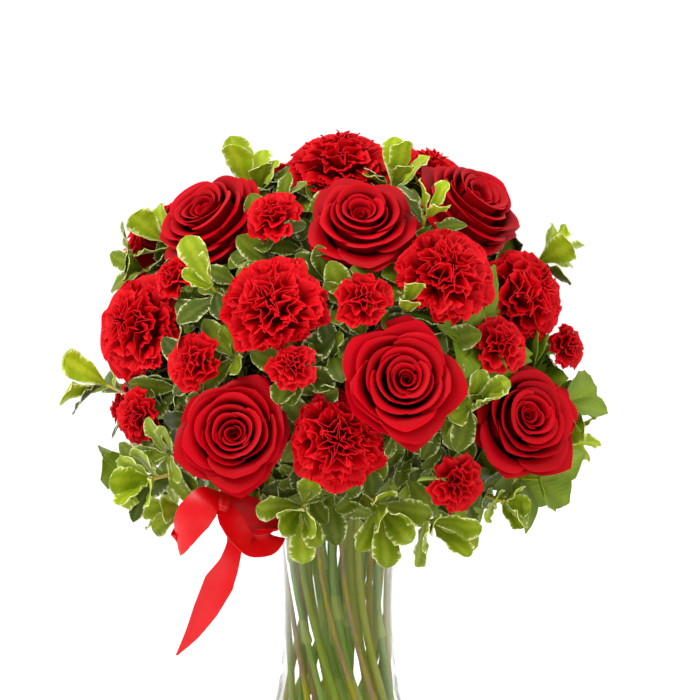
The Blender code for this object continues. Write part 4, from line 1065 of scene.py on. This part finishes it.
# Side shoots are spread evenly over the dome, a little below the heads' surface. The dome narrows underneath,
# and they keep out of the vase's mouth. Those of the skirt hang round the lip.
SPRIGS, SPRIG_SPAN, SPRIG_DEPTH, NEARNESS = 236, 1.62, 22.0, 9
UNDER_FROM, UNDER_SHRINK = -0.25, 0.9
SPRIG_LOWEST, SPRIG_BOX_ROOM, VASE_AROUND, VASE_OVER = 192, 14, 62, 225
SKIRT, SKIRT_RADIUS, SKIRT_HEIGHT, SKIRT_DROPS = 26, 64, 214, (0, 7, 14)
# Further shoots, as (tip, look)
COVERS = (((-134, -14, 352), (-78, 12)), ((-6, -76, 204), (-4, -45)), ((-112, -78, 232), (-48, -20)))


def sprig_places():
    """Where side shoots fill the dome's gaps and then skirt the lip: their numbers, tips and directions."""
    heads = np.array([bloom["middle"] for bloom in blooms.values()]) - DOME_MIDDLE
    reach = np.linalg.norm(heads, axis=1)
    ways = heads / reach[:, None]
    places = []
    for n in range(SPRIGS):
        high = 1 - SPRIG_SPAN * (n + 0.5) / SPRIGS
        turn = GOLDEN * n
        flat = math.sqrt(1 - high * high)
        way = np.array((flat * math.cos(turn), flat * math.sin(turn), high))
        near = np.exp(NEARNESS * (ways @ way - 1))
        depth = (near * reach).sum() / near.sum() - SPRIG_DEPTH
        if high < UNDER_FROM:
            depth *= 1 - UNDER_SHRINK * (UNDER_FROM - high)
        tip = DOME_MIDDLE + way * depth
        clear_of = np.linalg.norm(centres - tip, axis=1) - rooms * 1.05
        if clear_of.min() < 0 or tip[2] < SPRIG_LOWEST or past_box(tip, SPRIG_BOX_ROOM):
            continue
        if math.hypot(tip[0], tip[1]) < VASE_AROUND and tip[2] < VASE_OVER:
            continue
        places.append((n, tip, unit(way + (0, 0, -0.25 if high < 0 else 0.1))))
    for n, (tip, look) in enumerate(COVERS):
        places.append((SPRIGS + SKIRT + n, np.array(tip, float), facing(*look)))
    for n in range(SKIRT):
        turn = 2 * math.pi * n / SKIRT
        out = np.array((math.sin(turn), -math.cos(turn), 0.0))
        for drop in SKIRT_DROPS:
            tip = out * (SKIRT_RADIUS + 6 * (n % 2)) + (0, 0, SKIRT_HEIGHT + 7 * (n % 3) - drop)
            if (np.linalg.norm(centres - tip, axis=1) - rooms).min() > 0:
                places.append((SPRIGS + n, tip, unit(out * 0.8 + (0, 0, -0.6))))
                break
    return places


def sprig(tip, way, start, draw, length, share, wavy, outline=ROUNDED):
    """A short side shoot with a whorl of leaves at its end, each left out where a bloom sits."""
    reach = np.linalg.norm(tip - start)
    handles = (start, start + (0, 0, reach * 0.3), tip - way * reach * 0.4, tip)
    line = np.array(curve_points(handles, np.linspace(0, 1, 9)))
    leaves = []
    turn = draw.uniform(0, 6)
    count = draw.choice((5, 6, 6, 7))
    for n in range(count):
        root = tip - way * (2.0 * (n % 3))
        size = length * draw.uniform(0.75, 1.1)
        for attempt in range(4):
            spread, curl = draw.uniform(0.55, 1.35), draw.uniform(0.0, 0.35)
            about = turn + 2 * math.pi * n / count + 0.35 * attempt
            middle, across, normal = leaning(root, way, about, spread, size, curl, SHOOT_ROWS)
            if standing_free(middle, middle[::3], 1, lip_height + 5):
                leaf = leaf_on(middle, across, normal, size * share, draw, wavy, SIDE_COLUMNS, outline)
                leaves.append(leaf)
                break
    return line, leaves


def nearest_branch(tip, way):
    """The branch, and the place on it, from which a side shoot grows to a tip."""
    goal = tip - way * SHOOT_REACH
    found = []
    for name in stems:
        if "_twig_" in name:
            line, run = smooth_stem(name)
            line = line[(line[:, 2] > lip_height) & (run < run[-1] - BARE_TIP)]
            if len(line):
                gap = np.linalg.norm(line - goal, axis=1)
                found.append((gap.min(), name, tuple(line[gap.argmin()])))
    return min(found)


sprigs = {}
for number, tip, way in sprig_places():
    gap, name, start = nearest_branch(tip, way)
    sprigs.setdefault(name.rsplit("_twig_", 1)[0], []).append((number, tip, way, np.array(start)))
LEAF_THICK, SHOOT_RADII = 0.45, (1.5, 0.9)
for node, whorls in PITTOSPORUM.items():
    leaves, twigs = [], []
    for grid, draw in leaf_grids(node, whorls, wavy=1.3, rows=11):
        # Blades further from the dome's middle get lighter greens: painted light on its outside.
        out = min(1.0, math.hypot(grid[0, 0, 0], grid[0, 0, 2] - MIDDLE_HEIGHT) / FULL_REACH)
        young_and_lit = YOUNG_TINT if draw.random() < YOUNG_BLADES and out > YOUNG_FROM else 0.0
        leaves.append(sheet(grid, LEAF_THICK, draw.uniform(0.3, 0.5) + 0.5 * out * out + young_and_lit))
    for n in range(len(whorls)):
        name = f"{node}_twig_{n}"
        draw = random.Random("bark " + name)
        line, run = smooth_stem(name)
        thick = stems[name]["radius"] * (1 if "parent" in stems[name] else slimness(name))
        radii = [thick * (1 - 0.4 * way / run[-1]) * draw.uniform(0.92, 1.1) for way in run]
        twigs.append(rod(line, radii, 9, draw.uniform(0, 1)))
        # Leaves along the twigs lie inside the dome and take the darker greens: painted shade.
        for grid, draw in branch_leaves(name, step=8.0, length=36, share=0.23, wavy=1.2):
            leaves.append(sheet(grid, LEAF_THICK, draw.uniform(0.0, 0.3)))
    for number, tip, way, start in sprigs.get(node, ()):
        draw = random.Random(f"sprig {number}")
        line, grids = sprig(tip, way, start, draw, length=33, share=0.25, wavy=1.1)
        if len(grids) > 1:
            twigs.append(rod(line, np.linspace(*SHOOT_RADII, len(line)), 6, draw.uniform(0, 1)))
        # Shoots of the skirt and the further shoots get lighter greens than those inside the dome, which take
        # painted shade.
        age_and_light = draw.uniform(0.1, 0.5) if number >= SPRIGS else draw.uniform(0.0, 0.3)
        for grid in grids:
            leaves.append(sheet(grid, LEAF_THICK, age_and_light + draw.uniform(-0.05, 0.15)))
    piece(node, {variegated: leaves, bark: twigs}, [node])

# Broad leaves: plain, glossy, pointed leaves on smooth green twigs, at the sides and the back. They are drawn
# as the variegated ones are, but longer, flatter and of one green.
broad_leaf = finish("broad_leaf", Roughness=0.38, Specular_IOR_Level=0.18)
edge, way = from_midrib(broad_leaf)
veins = add_node(broad_leaf, "ShaderNodeMath", operation="SINE")
broad_leaf.node_tree.links.new(summed(broad_leaf, ((way, 58.0), (edge, -34.0))), veins.inputs[0])
blotches = pattern(broad_leaf, noise=1.0, scale=60, base=0.5)
coloured(broad_leaf, summed(broad_leaf, ((edge, 1.1), (veins.outputs[0], 0.05), (blotches, 0.5)), -0.05), (
    (0.0, (0.36, 0.4, 0.045)),
    (0.16, (0.22, 0.31, 0.016)),
    (0.6, (0.145, 0.23, 0.009)),
    (1.0, (0.23, 0.3, 0.016)),
))
roughen(broad_leaf, summed(broad_leaf, ((edge, 1.2), (veins.outputs[0], 0.12))), 0.5, 0.0008)
BROAD_THICK, BROAD_SHARE = 0.5, 0.76
for node, whorls in BROAD_LEAVES.items():
    leaves, twigs = [], []
    for grid, draw in leaf_grids(node, whorls, wavy=0.6, rows=13, share=BROAD_SHARE, outline=POINTED):
        leaves.append(sheet(grid, BROAD_THICK, draw.uniform(0, 0.3)))
    for n in range(len(whorls)):
        name = f"{node}_twig_{n}"
        line, run = smooth_stem(name)
        radii = [stems[name]["radius"] * (1 - 0.4 * way / run[-1]) for way in run]
        twigs.append(rod(line, radii, 9, 0.5))
        for grid, draw in branch_leaves(name, step=9.0, length=46, share=0.27, wavy=0.5, outline=POINTED):
            leaves.append(sheet(grid, BROAD_THICK, draw.uniform(0, 0.3)))
    for number, tip, way, start in sprigs.get(node, ()):
        draw = random.Random(f"sprig {number}")
        line, grids = sprig(tip, way, start, draw, length=44, share=0.29, wavy=0.5, outline=POINTED)
        if len(grids) > 1:
            twigs.append(rod(line, np.linspace(*SHOOT_RADII, len(line)), 6, 0.5))
        for grid in grids:
            leaves.append(sheet(grid, BROAD_THICK, 0.2))
    piece(node, {broad_leaf: leaves, stem_green: twigs}, [node])

# Roses: layers of broad petals round a tight spiral, the outer ones leaning out with their edges rolled back
# to a point. Every petal is a thin body of its own, formed on a grid and pressed where its neighbours touch.
PRESS_SOFT, PRESS_REACH, PRESS_ROUNDS = 11.0, 1.25, 3
# Layers as (petals, cup radius, rim radius, rim height over the seat, half angle in degrees, point of the
# rim), over the bloom's widest radius
ROSE_LAYERS = (
    (5, 0.64, 0.98, 0.64, 52, 0.20),
    (5, 0.62, 0.90, 0.82, 48, 0.16),
    (5, 0.57, 0.76, 0.97, 48, 0.10),
    (4, 0.46, 0.60, 1.08, 60, 0.06),
    (3, 0.35, 0.46, 1.14, 78, 0.04),
    (3, 0.26, 0.34, 1.14, 76, 0.02),
    (3, 0.17, 0.23, 1.08, 80, 0.0),
    (2, 0.10, 0.14, 1.01, 120, 0.0),
    (2, 0.05, 0.07, 0.95, 120, 0.0),
)
ROSE_ROWS, OUTER_COLUMNS, INNER_COLUMNS = 12, 17, 8


def pressed(points, bloom):
    """Neighbouring blooms press flat against the plane between them, as full ones do in a tight dome."""
    for _ in range(PRESS_ROUNDS):
        for other in blooms.values():
            step = other["middle"] - bloom["middle"]
            apart = np.linalg.norm(step)
            reach = bloom["radius"] + other["radius"]
            if other is bloom or apart > PRESS_REACH * reach:
                continue
            over = (points - bloom["middle"]) @ (step / apart) - apart * bloom["radius"] / reach
            most = over.max()
            if most > -GAP:
                squeeze = np.clip((over + PRESS_SOFT) / (most + PRESS_SOFT), 0, None)
                move = np.where(over > -PRESS_SOFT, squeeze * (PRESS_SOFT - GAP) - PRESS_SOFT - over, 0)
                points = points + move[..., None] * (step / apart)
    return points


def placed(grids, bloom, roll, seat):
    """Grids of a bloom's petals, from its seat into the frame."""
    points = np.concatenate([grid.reshape(-1, 3) for grid in grids]) - (0, 0, seat)
    points = pressed(points @ frame_along(bloom["along"], roll).T + bloom["middle"], bloom)
    ends = np.cumsum([grid.shape[0] * grid.shape[1] for grid in grids])[:-1]
    return [part.reshape(grid.shape) for part, grid in zip(np.split(points, ends), grids)]


# The heart inside a bloom's petals, as (height over the seat, radius), over the bloom's widest radius
HEART = ((0.02, 0.10), (0.3, 0.27), (0.6, 0.20), (0.82, 0.03))


def bloom_piece(name, grids, draw, thick, material):
    """A bloom from the grids of its petals, with a closed heart that stands on its seat inside them."""
    bloom = blooms[name]
    seat = SEATS[bloom["kind"]][0]
    grids = placed(grids, bloom, draw.uniform(0, 6), seat)
    shapes = [sheet(grid, thick, draw.uniform(0, 1)) for grid in grids]
    line = [bloom["middle"] + bloom["along"] * (bloom["radius"] * share - seat) for share, _ in HEART]
    shapes.append(rod(line, [bloom["radius"] * share for _, share in HEART], 10, 0.3))
    piece(name, {material: shapes}, [name])


def rose_petals(radius, draw):
    """Petals that rise as a cup and then roll outwards in a lip. One side of each tucks behind the next."""
    grids = []
    start = draw.uniform(0, 6)
    for n, (count, cup, rim, height, half, point) in enumerate(ROSE_LAYERS):
        inner = n / (len(ROSE_LAYERS) - 1)
        u = np.linspace(-1, 1, round(OUTER_COLUMNS + (INNER_COLUMNS - OUTER_COLUMNS) * inner))[None, :]
        v = np.linspace(0, 1, ROSE_ROWS)[:, None] ** 0.9 * (1 - (0.2 - 0.12 * inner) * np.abs(u) ** 5)
        for k in range(count):
            turn = start + GOLDEN * n + 2 * math.pi * (k + draw.uniform(-0.16, 0.16)) / count
            wide = cup * draw.uniform(0.95, 1.05)
            reach = rim * draw.uniform(0.90, 1.05)
            top = height + draw.uniform(-0.06, 0.05)
            lip = (0.17 - 0.08 * inner) * draw.uniform(0.75, 1.35)
            over = math.radians(draw.uniform(84, 116) - 30 * inner)
            low = 0.02 + 0.30 * inner
            foot = 0.12 * (1 - inner) + 0.6 * wide * inner
            rise = np.clip(v / 0.55, 0, 1)
            roll = np.clip((v - 0.55) / 0.45, 0, 1)
            lean = 0.5 + 0.5 * u
            side = 1 + (0.35 - 0.15 * inner) * np.abs(u) ** 2.5
            bend = over * roll * side
            r = foot + (wide - foot) * np.sin(math.pi / 2 * rise)
            z = low + (top - lip - low) * (1 - np.cos(math.pi / 2 * rise)) ** 0.9
            edge = 1 + point * ((1 - np.abs(u)) ** 1.6 - 0.55) - 0.05 * u**2
            out = (1 - np.cos(bend)) / (1 - math.cos(over))
            r = r + (reach * edge - wide) * out
            z = z + lip * np.sin(bend) - (0.05 + 0.04 * (1 - inner)) * u**2 * v
            r = r + draw.uniform(0.03, 0.07) * (lean - 0.5) * v
            z = z + draw.uniform(-0.05, 0.05) * u * v + 0.014 * np.sin(3.4 * u + draw.uniform(0, 6)) * roll
            r = r + 0.012 * np.sin(4.3 * u + draw.uniform(0, 6)) * roll
            spread = math.radians(half) * (0.45 + 0.55 * np.sin(math.pi / 2 * np.clip(v * 1.5, 0, 1)))
            angle = turn + u * spread * (1 - 0.2 * roll**2 * (1 - 0.5 * inner))
            shift = 0.06 * inner
            grid = np.stack((r * np.cos(angle) + shift, r * np.sin(angle) - shift, z + 0 * u), axis=-1)
            grids.append(grid * radius)
    return grids


rose_petal = finish("rose_petal", Roughness=0.45, Specular_IOR_Level=0.08)
# The red darkens from each petal's rim down to its base: painted shade, where the petals lie deep in the bloom.
coloured(rose_petal, pattern(rose_petal, along=0.8, tint=0.2, noise=0.3, scale=35, base=-0.02), (
    (0.0, (0.06, 0, 0.001)), (0.45, (0.21, 0, 0.002)), (0.75, (0.42, 0, 0.004)), (0.97, (0.56, 0, 0.008))
))
roughen(rose_petal, pattern(rose_petal, noise=1.0, scale=420), 0.12, 0.0004)
ROSE_THICK = 0.4
for name in ROSES:
    draw = random.Random("petals " + name)
    petals = rose_petals(blooms[name]["radius"], draw)
    bloom_piece(name, petals, draw, ROSE_THICK, rose_petal)

# Carnations: broad fan petals with finely toothed edges round the outside, and crumpled upright folds in the
# middle. Every petal is a thin body formed on a grid whose rim follows the dome of the bloom.
# Layers as (petals, rim radius, half angle in degrees, depth of the ruffles, columns), over the widest radius
CARNATION_LAYERS = (
    (6, 0.99, 38, 0.030, 29),
    (6, 0.95, 38, 0.040, 29),
    (6, 0.85, 38, 0.050, 25),
    (6, 0.64, 38, 0.085, 21),
    (5, 0.49, 42, 0.115, 19),
    (5, 0.34, 46, 0.125, 17),
    (4, 0.18, 60, 0.100, 13),
)
RUFFLE_ROWS = 6


def ruffled_petals(radius, layers, draw):
    """Fan petals on a narrow claw, with a toothed edge and folds that deepen towards it."""
    grids = []
    start = draw.uniform(0, 6)
    v = np.linspace(0, 1, RUFFLE_ROWS)[:, None] ** 0.85
    for n, (count, rim, half, ruffle, columns) in enumerate(layers):
        inner = n / (len(layers) - 1)
        u = np.linspace(-1, 1, columns)[None, :]
        for k in range(count):
            turn = start + GOLDEN * n + 2 * math.pi * (k + draw.uniform(-0.12, 0.12)) / count
            speed, phase, second = draw.uniform(3.6, 5.2), draw.uniform(0, 6), draw.uniform(0, 6)
            waves = np.sin(speed * u + phase) + 0.5 * np.sin(2.1 * speed * u + second)
            deep = ruffle * draw.uniform(0.8, 1.25) * waves
            teeth = np.array([draw.uniform(0.3, 1.0) * (c % 2) for c in range(columns)])[None, :]
            edge = rim * draw.uniform(0.90, 1.08) * (1 - 0.18 * np.abs(u) ** 3)
            edge = edge - (0.045 - 0.02 * inner) * teeth
            edge = edge + (0.05 - 0.02 * inner) * np.sin(7.0 * u + draw.uniform(0, 6))
            edge = np.clip(edge + deep * (0.2 + 0.9 * inner), 0.03, 1.08)
            top = 0.54 + 0.60 * (1 - edge**1.8) + deep * (0.75 - 0.6 * inner) + draw.uniform(-0.06, 0.04)
            reach = rim * (1 - v**2) + edge * v**2
            r = 0.06 + (reach - 0.06) * (1 - np.cos(math.pi / 2 * v)) ** (0.6 + 0.2 * inner)
            z = 0.03 + (top - 0.03) * np.sin(math.pi / 2 * v) ** (0.8 + 0.4 * inner)
            spread = math.radians(half) * (0.3 + 0.7 * v**0.7)
            swing = (0.03 + 0.16 * inner) * np.cos(speed * u + phase) * v**2
            angle = turn + u * spread + swing
            grid = np.stack((r * np.cos(angle), r * np.sin(angle), z + 0 * u), axis=-1)
            grids.append(grid * radius)
    return grids


carnation_petal = finish("carnation_petal", Roughness=0.5, Specular_IOR_Level=0.1)
# The red darkens towards each petal's base as painted shade deep in the bloom, and turns lighter and pinker at
# the rim as a painted highlight on its edges. The mini carnations share it.
coloured(carnation_petal, pattern(carnation_petal, along=0.85, tint=0.15, noise=0.3, scale=60, base=-0.02), (
    (0.0, (0.1, 0, 0.001)), (0.45, (0.36, 0, 0.002)), (0.78, (0.58, 0, 0.004)), (0.97, (0.78, 0.008, 0.016))
))
roughen(carnation_petal, pattern(carnation_petal, noise=1.0, scale=500), 0.15, 0.0004)
CARNATION_THICK = 0.35
for name in CARNATIONS:
    draw = random.Random("petals " + name)
    petals = ruffled_petals(blooms[name]["radius"], CARNATION_LAYERS, draw)
    bloom_piece(name, petals, draw, CARNATION_THICK, carnation_petal)

# Mini carnations: the same flower at half the size, with fewer and simpler petals. They sit on the calyces of
# the spray stems, three to a spray.
MINI_LAYERS = (
    (5, 0.99, 37, 0.045, 17),
    (5, 0.86, 38, 0.080, 17),
    (5, 0.62, 40, 0.120, 13),
    (4, 0.38, 48, 0.130, 11),
    (3, 0.17, 62, 0.100, 9),
)
MINI_THICK = 0.3
for name in minis:
    draw = random.Random("petals " + name)
    petals = ruffled_petals(blooms[name]["radius"], MINI_LAYERS, draw)
    bloom_piece(name, petals, draw, MINI_THICK, carnation_petal)

# Bow: red satin ribbon in two loops and a pointed tail about a pinched knot. A narrow band of it is tied
# round the stem of the low rose at the front left. It is one cut of ribbon, a flat strip along each run.
RIBBON_WIDTH, RIBBON_THICK = 24.0, 0.5
BOW_KNOT = np.array((-75.0, -95.0, 201.0))
# Each run of ribbon as (place from the knot, share of the full width, the way its width lies)
BOW_RUNS = {
    "left_loop": (
        ((0, -3, 3), 0.50, (-0.6, 0.2, 0.8)),
        ((-9, -8, 3), 0.92, (-0.6, 0.3, 0.8)),
        ((-19, -9, -7), 1.02, (-0.6, 0.2, 0.8)),
        ((-27, -5, -20), 0.84, (-0.3, 0.2, 0.9)),
        ((-30, 1, -27), 0.62, (-0.1, 0.2, 1.0)),
        ((-25, 6, -19), 0.66, (-0.3, 0.3, 0.9)),
        ((-12, 6, -4), 0.66, (-0.3, 0.4, 0.9)),
        ((0, 2, 1), 0.45, (-0.2, 0.3, 0.9)),
    ),
    "right_loop": (
        ((0, -3, 0), 0.42, (0.8, 0.5, 0.4)),
        ((5, -9, -10), 0.74, (0.8, 0.6, 0.4)),
        ((11, -12, -20), 0.84, (0.7, 0.8, 0.3)),
        ((19, -11, -28), 0.86, (0.4, 0.9, 0.3)),
        ((27, -6, -27), 0.86, (0.1, 0.8, 0.6)),
        ((30, 1, -19), 0.88, (-0.1, 0.5, 0.9)),
        ((23, 4, -10), 0.94, (-0.1, 0.3, 1.0)),
        ((11, 4, -2), 0.80, (-0.1, 0.3, 1.0)),
        ((0, 2, 2), 0.42, (0, 0.4, 0.9)),
    ),
    "tail": (
        ((1, 0, -3), 0.42, (1, 0.3, 0.2)),
        ((5, 2, -12), 0.40, (1, 0.5, 0.2)),
        ((7, 3, -25), 0.42, (1, 0.3, 0.1)),
        ((4, 1, -38), 0.56, (0.9, 0.2, -0.4)),
        ((-3, 0, -52), 0.84, (0.9, 0.1, -0.4)),
        ((-12, -1, -70), 0.70, (0.85, 0.2, -0.5)),
        ((-21, 0, -86), 0.40, (0.85, 0.2, -0.5)),
        ((-31, 2, -100), 0.05, (0.8, 0.2, -0.6)),
    ),
}
BOW_STEM, BOW_HOLD = "rose_4", 3
# The band's turns round the stem, its steps and width, the strap's width and the knot's radius
BAND_TURNS, BAND_STEPS, BAND_WIDTH, STRAP_WIDTH, KNOT_RADIUS = 1.04, 25, 6.0, 5.5, 4.0


def ribbon_grid(line, widths, ways, columns=9):
    """A strip of ribbon along a line, slightly dished across."""
    steps = np.gradient(line, axis=0)
    steps /= np.linalg.norm(steps, axis=1)[:, None]
    ways = ways - steps * (ways * steps).sum(1)[:, None]
    ways /= np.linalg.norm(ways, axis=1)[:, None]
    normals = np.cross(steps, ways)
    u = np.linspace(-0.5, 0.5, columns)[None, :, None]
    dish = (u * 2) ** 2 * 0.06 * widths[:, None, None]
    return line[:, None, :] + ways[:, None, :] * u * widths[:, None, None] + normals[:, None, :] * dish


satin = finish("satin", Roughness=0.34, Specular_IOR_Level=0.3, Anisotropic=0.5)
satin_value = pattern(satin, noise=1.0, scale=90, base=0.5)
coloured(satin, satin_value, ((0.2, (0.54, 0, 0.002)), (0.8, (0.66, 0.001, 0.004))))
shapes = []
for run in BOW_RUNS.values():
    places, shares, ways = (np.array(column, float) for column in zip(*run))
    line = smooth_line(places, 8) + BOW_KNOT
    marks = np.arange(len(places))
    at = np.linspace(0, len(places) - 1, len(line))
    widths = np.interp(at, marks, shares) * RIBBON_WIDTH
    shapes.append(sheet(ribbon_grid(line, widths, between(at, marks, ways)), RIBBON_THICK, 0.5))
low, high = stems[BOW_STEM]["route"][BOW_HOLD : BOW_HOLD + 2]
hold, way = (low + high) / 2, unit(high - low)
across, up = frame_along(way)[:, :2].T
band_radius = stems[BOW_STEM]["radius"] + GAP + RIBBON_THICK
turns = np.linspace(0, 2 * math.pi * BAND_TURNS, BAND_STEPS)
ring = hold + band_radius * (np.outer(np.cos(turns), across) + np.outer(np.sin(turns), up))
ring += np.outer(turns, way) * 0.08 + np.outer(turns / 6, ring[0] - hold) * 0.06
band = ribbon_grid(ring, np.full(BAND_STEPS, BAND_WIDTH), np.tile(way, (BAND_STEPS, 1)), 5)
shapes.append(sheet(band, RIBBON_THICK, 0.5))
near = min(ring, key=lambda point: np.linalg.norm(point - BOW_KNOT))
strap = smooth_line([BOW_KNOT, (BOW_KNOT + near) / 2, near], 4)
strap = ribbon_grid(strap, np.full(9, STRAP_WIDTH), np.tile((1.0, 0, 0), (9, 1)), 5)
shapes.append(sheet(strap, RIBBON_THICK, 0.5))
knot_line = smooth_line([BOW_KNOT + (-1, -5, -5), BOW_KNOT + (0, -3, 0), BOW_KNOT + (1, 3, 5)], 6)
wrap = []
for n in range(len(knot_line)):
    wrap.append(KNOT_RADIUS + 0.8 * math.sin(math.pi * n / (len(knot_line) - 1)) + 0.3 * math.sin(2.2 * n))
shapes.append(rod(knot_line, wrap, 20, 0.5))
bow = piece("ribbon_bow", {satin: shapes}, ["ribbon_bow"])

# Stage: a plain pale floor, an even white surround and three large soft lights, the strongest one high at the
# left. None of it belongs to the bouquet.
bpy.ops.object.select_all(action="DESELECT")
bpy.ops.mesh.primitive_circle_add(vertices=64, radius=5.0, fill_type="NGON", location=(0, 0, 0))
floor = bpy.context.object
floor.name = "floor"
floor_white = finish(
    "floor_white",
    Base_Color=(0.95, 0.95, 0.95, 1),
    Roughness=0.8,
    Emission_Color=(1, 1, 1, 1),
    Emission_Strength=0.3,
)
floor.data.materials.append(floor_white)

world = bpy.data.worlds.new("studio")
bpy.context.scene.world = world
world.use_nodes = True
background = world.node_tree.nodes["Background"]
way = world.node_tree.nodes.new("ShaderNodeTexCoord")
parts = world.node_tree.nodes.new("ShaderNodeSeparateXYZ")
shade = world.node_tree.nodes.new("ShaderNodeMapRange")
shade.inputs["From Min"].default_value, shade.inputs["From Max"].default_value = -0.9, 0.5
shade.inputs["To Min"].default_value, shade.inputs["To Max"].default_value = 0.5, 1.02
world.node_tree.links.new(way.outputs["Generated"], parts.inputs[0])
world.node_tree.links.new(parts.outputs["Y"], shade.inputs["Value"])
world.node_tree.links.new(shade.outputs[0], background.inputs["Strength"])
background.inputs["Color"].default_value = (1, 1, 1, 1)
for name, place, energy, size in (
    ("key", (-1.3, -1.5, 1.9), 42.0, 1.1),
    ("fill", (1.6, -1.4, 1.0), 6.0, 1.4),
    ("top", (0.2, -0.7, 2.3), 14.0, 1.2),
):
    lamp = bpy.data.lights.new(name, "AREA")
    lamp.energy, lamp.size = energy, size
    light = bpy.data.objects.new(name, lamp)
    bpy.context.scene.collection.objects.link(light)
    light.location = place
    light.rotation_euler = (Vector((0, 0, 0.3)) - Vector(place)).to_track_quat("-Z", "Y").to_euler()

# Camera: a long lens a little above the middle of the bouquet, close enough to cut off the vase's foot as the
# photograph does.
AIM, DISTANCE, ELEVATION, HALF_WIDTH = (0.008, 0.0, 0.297), 2.6, math.radians(3), 0.2375
camera_data = bpy.data.cameras.new("camera")
camera_data.sensor_width = 36
camera_data.angle = 2 * math.atan(HALF_WIDTH / DISTANCE)
camera = bpy.data.objects.new("camera", camera_data)
camera.location = (AIM[0], AIM[1] - DISTANCE * math.cos(ELEVATION), AIM[2] + DISTANCE * math.sin(ELEVATION))
camera.rotation_euler = (math.radians(90) - ELEVATION, 0, 0)
bpy.context.scene.collection.objects.link(camera)
bpy.context.scene.camera = camera
bpy.context.scene.view_settings.view_transform = "Standard"
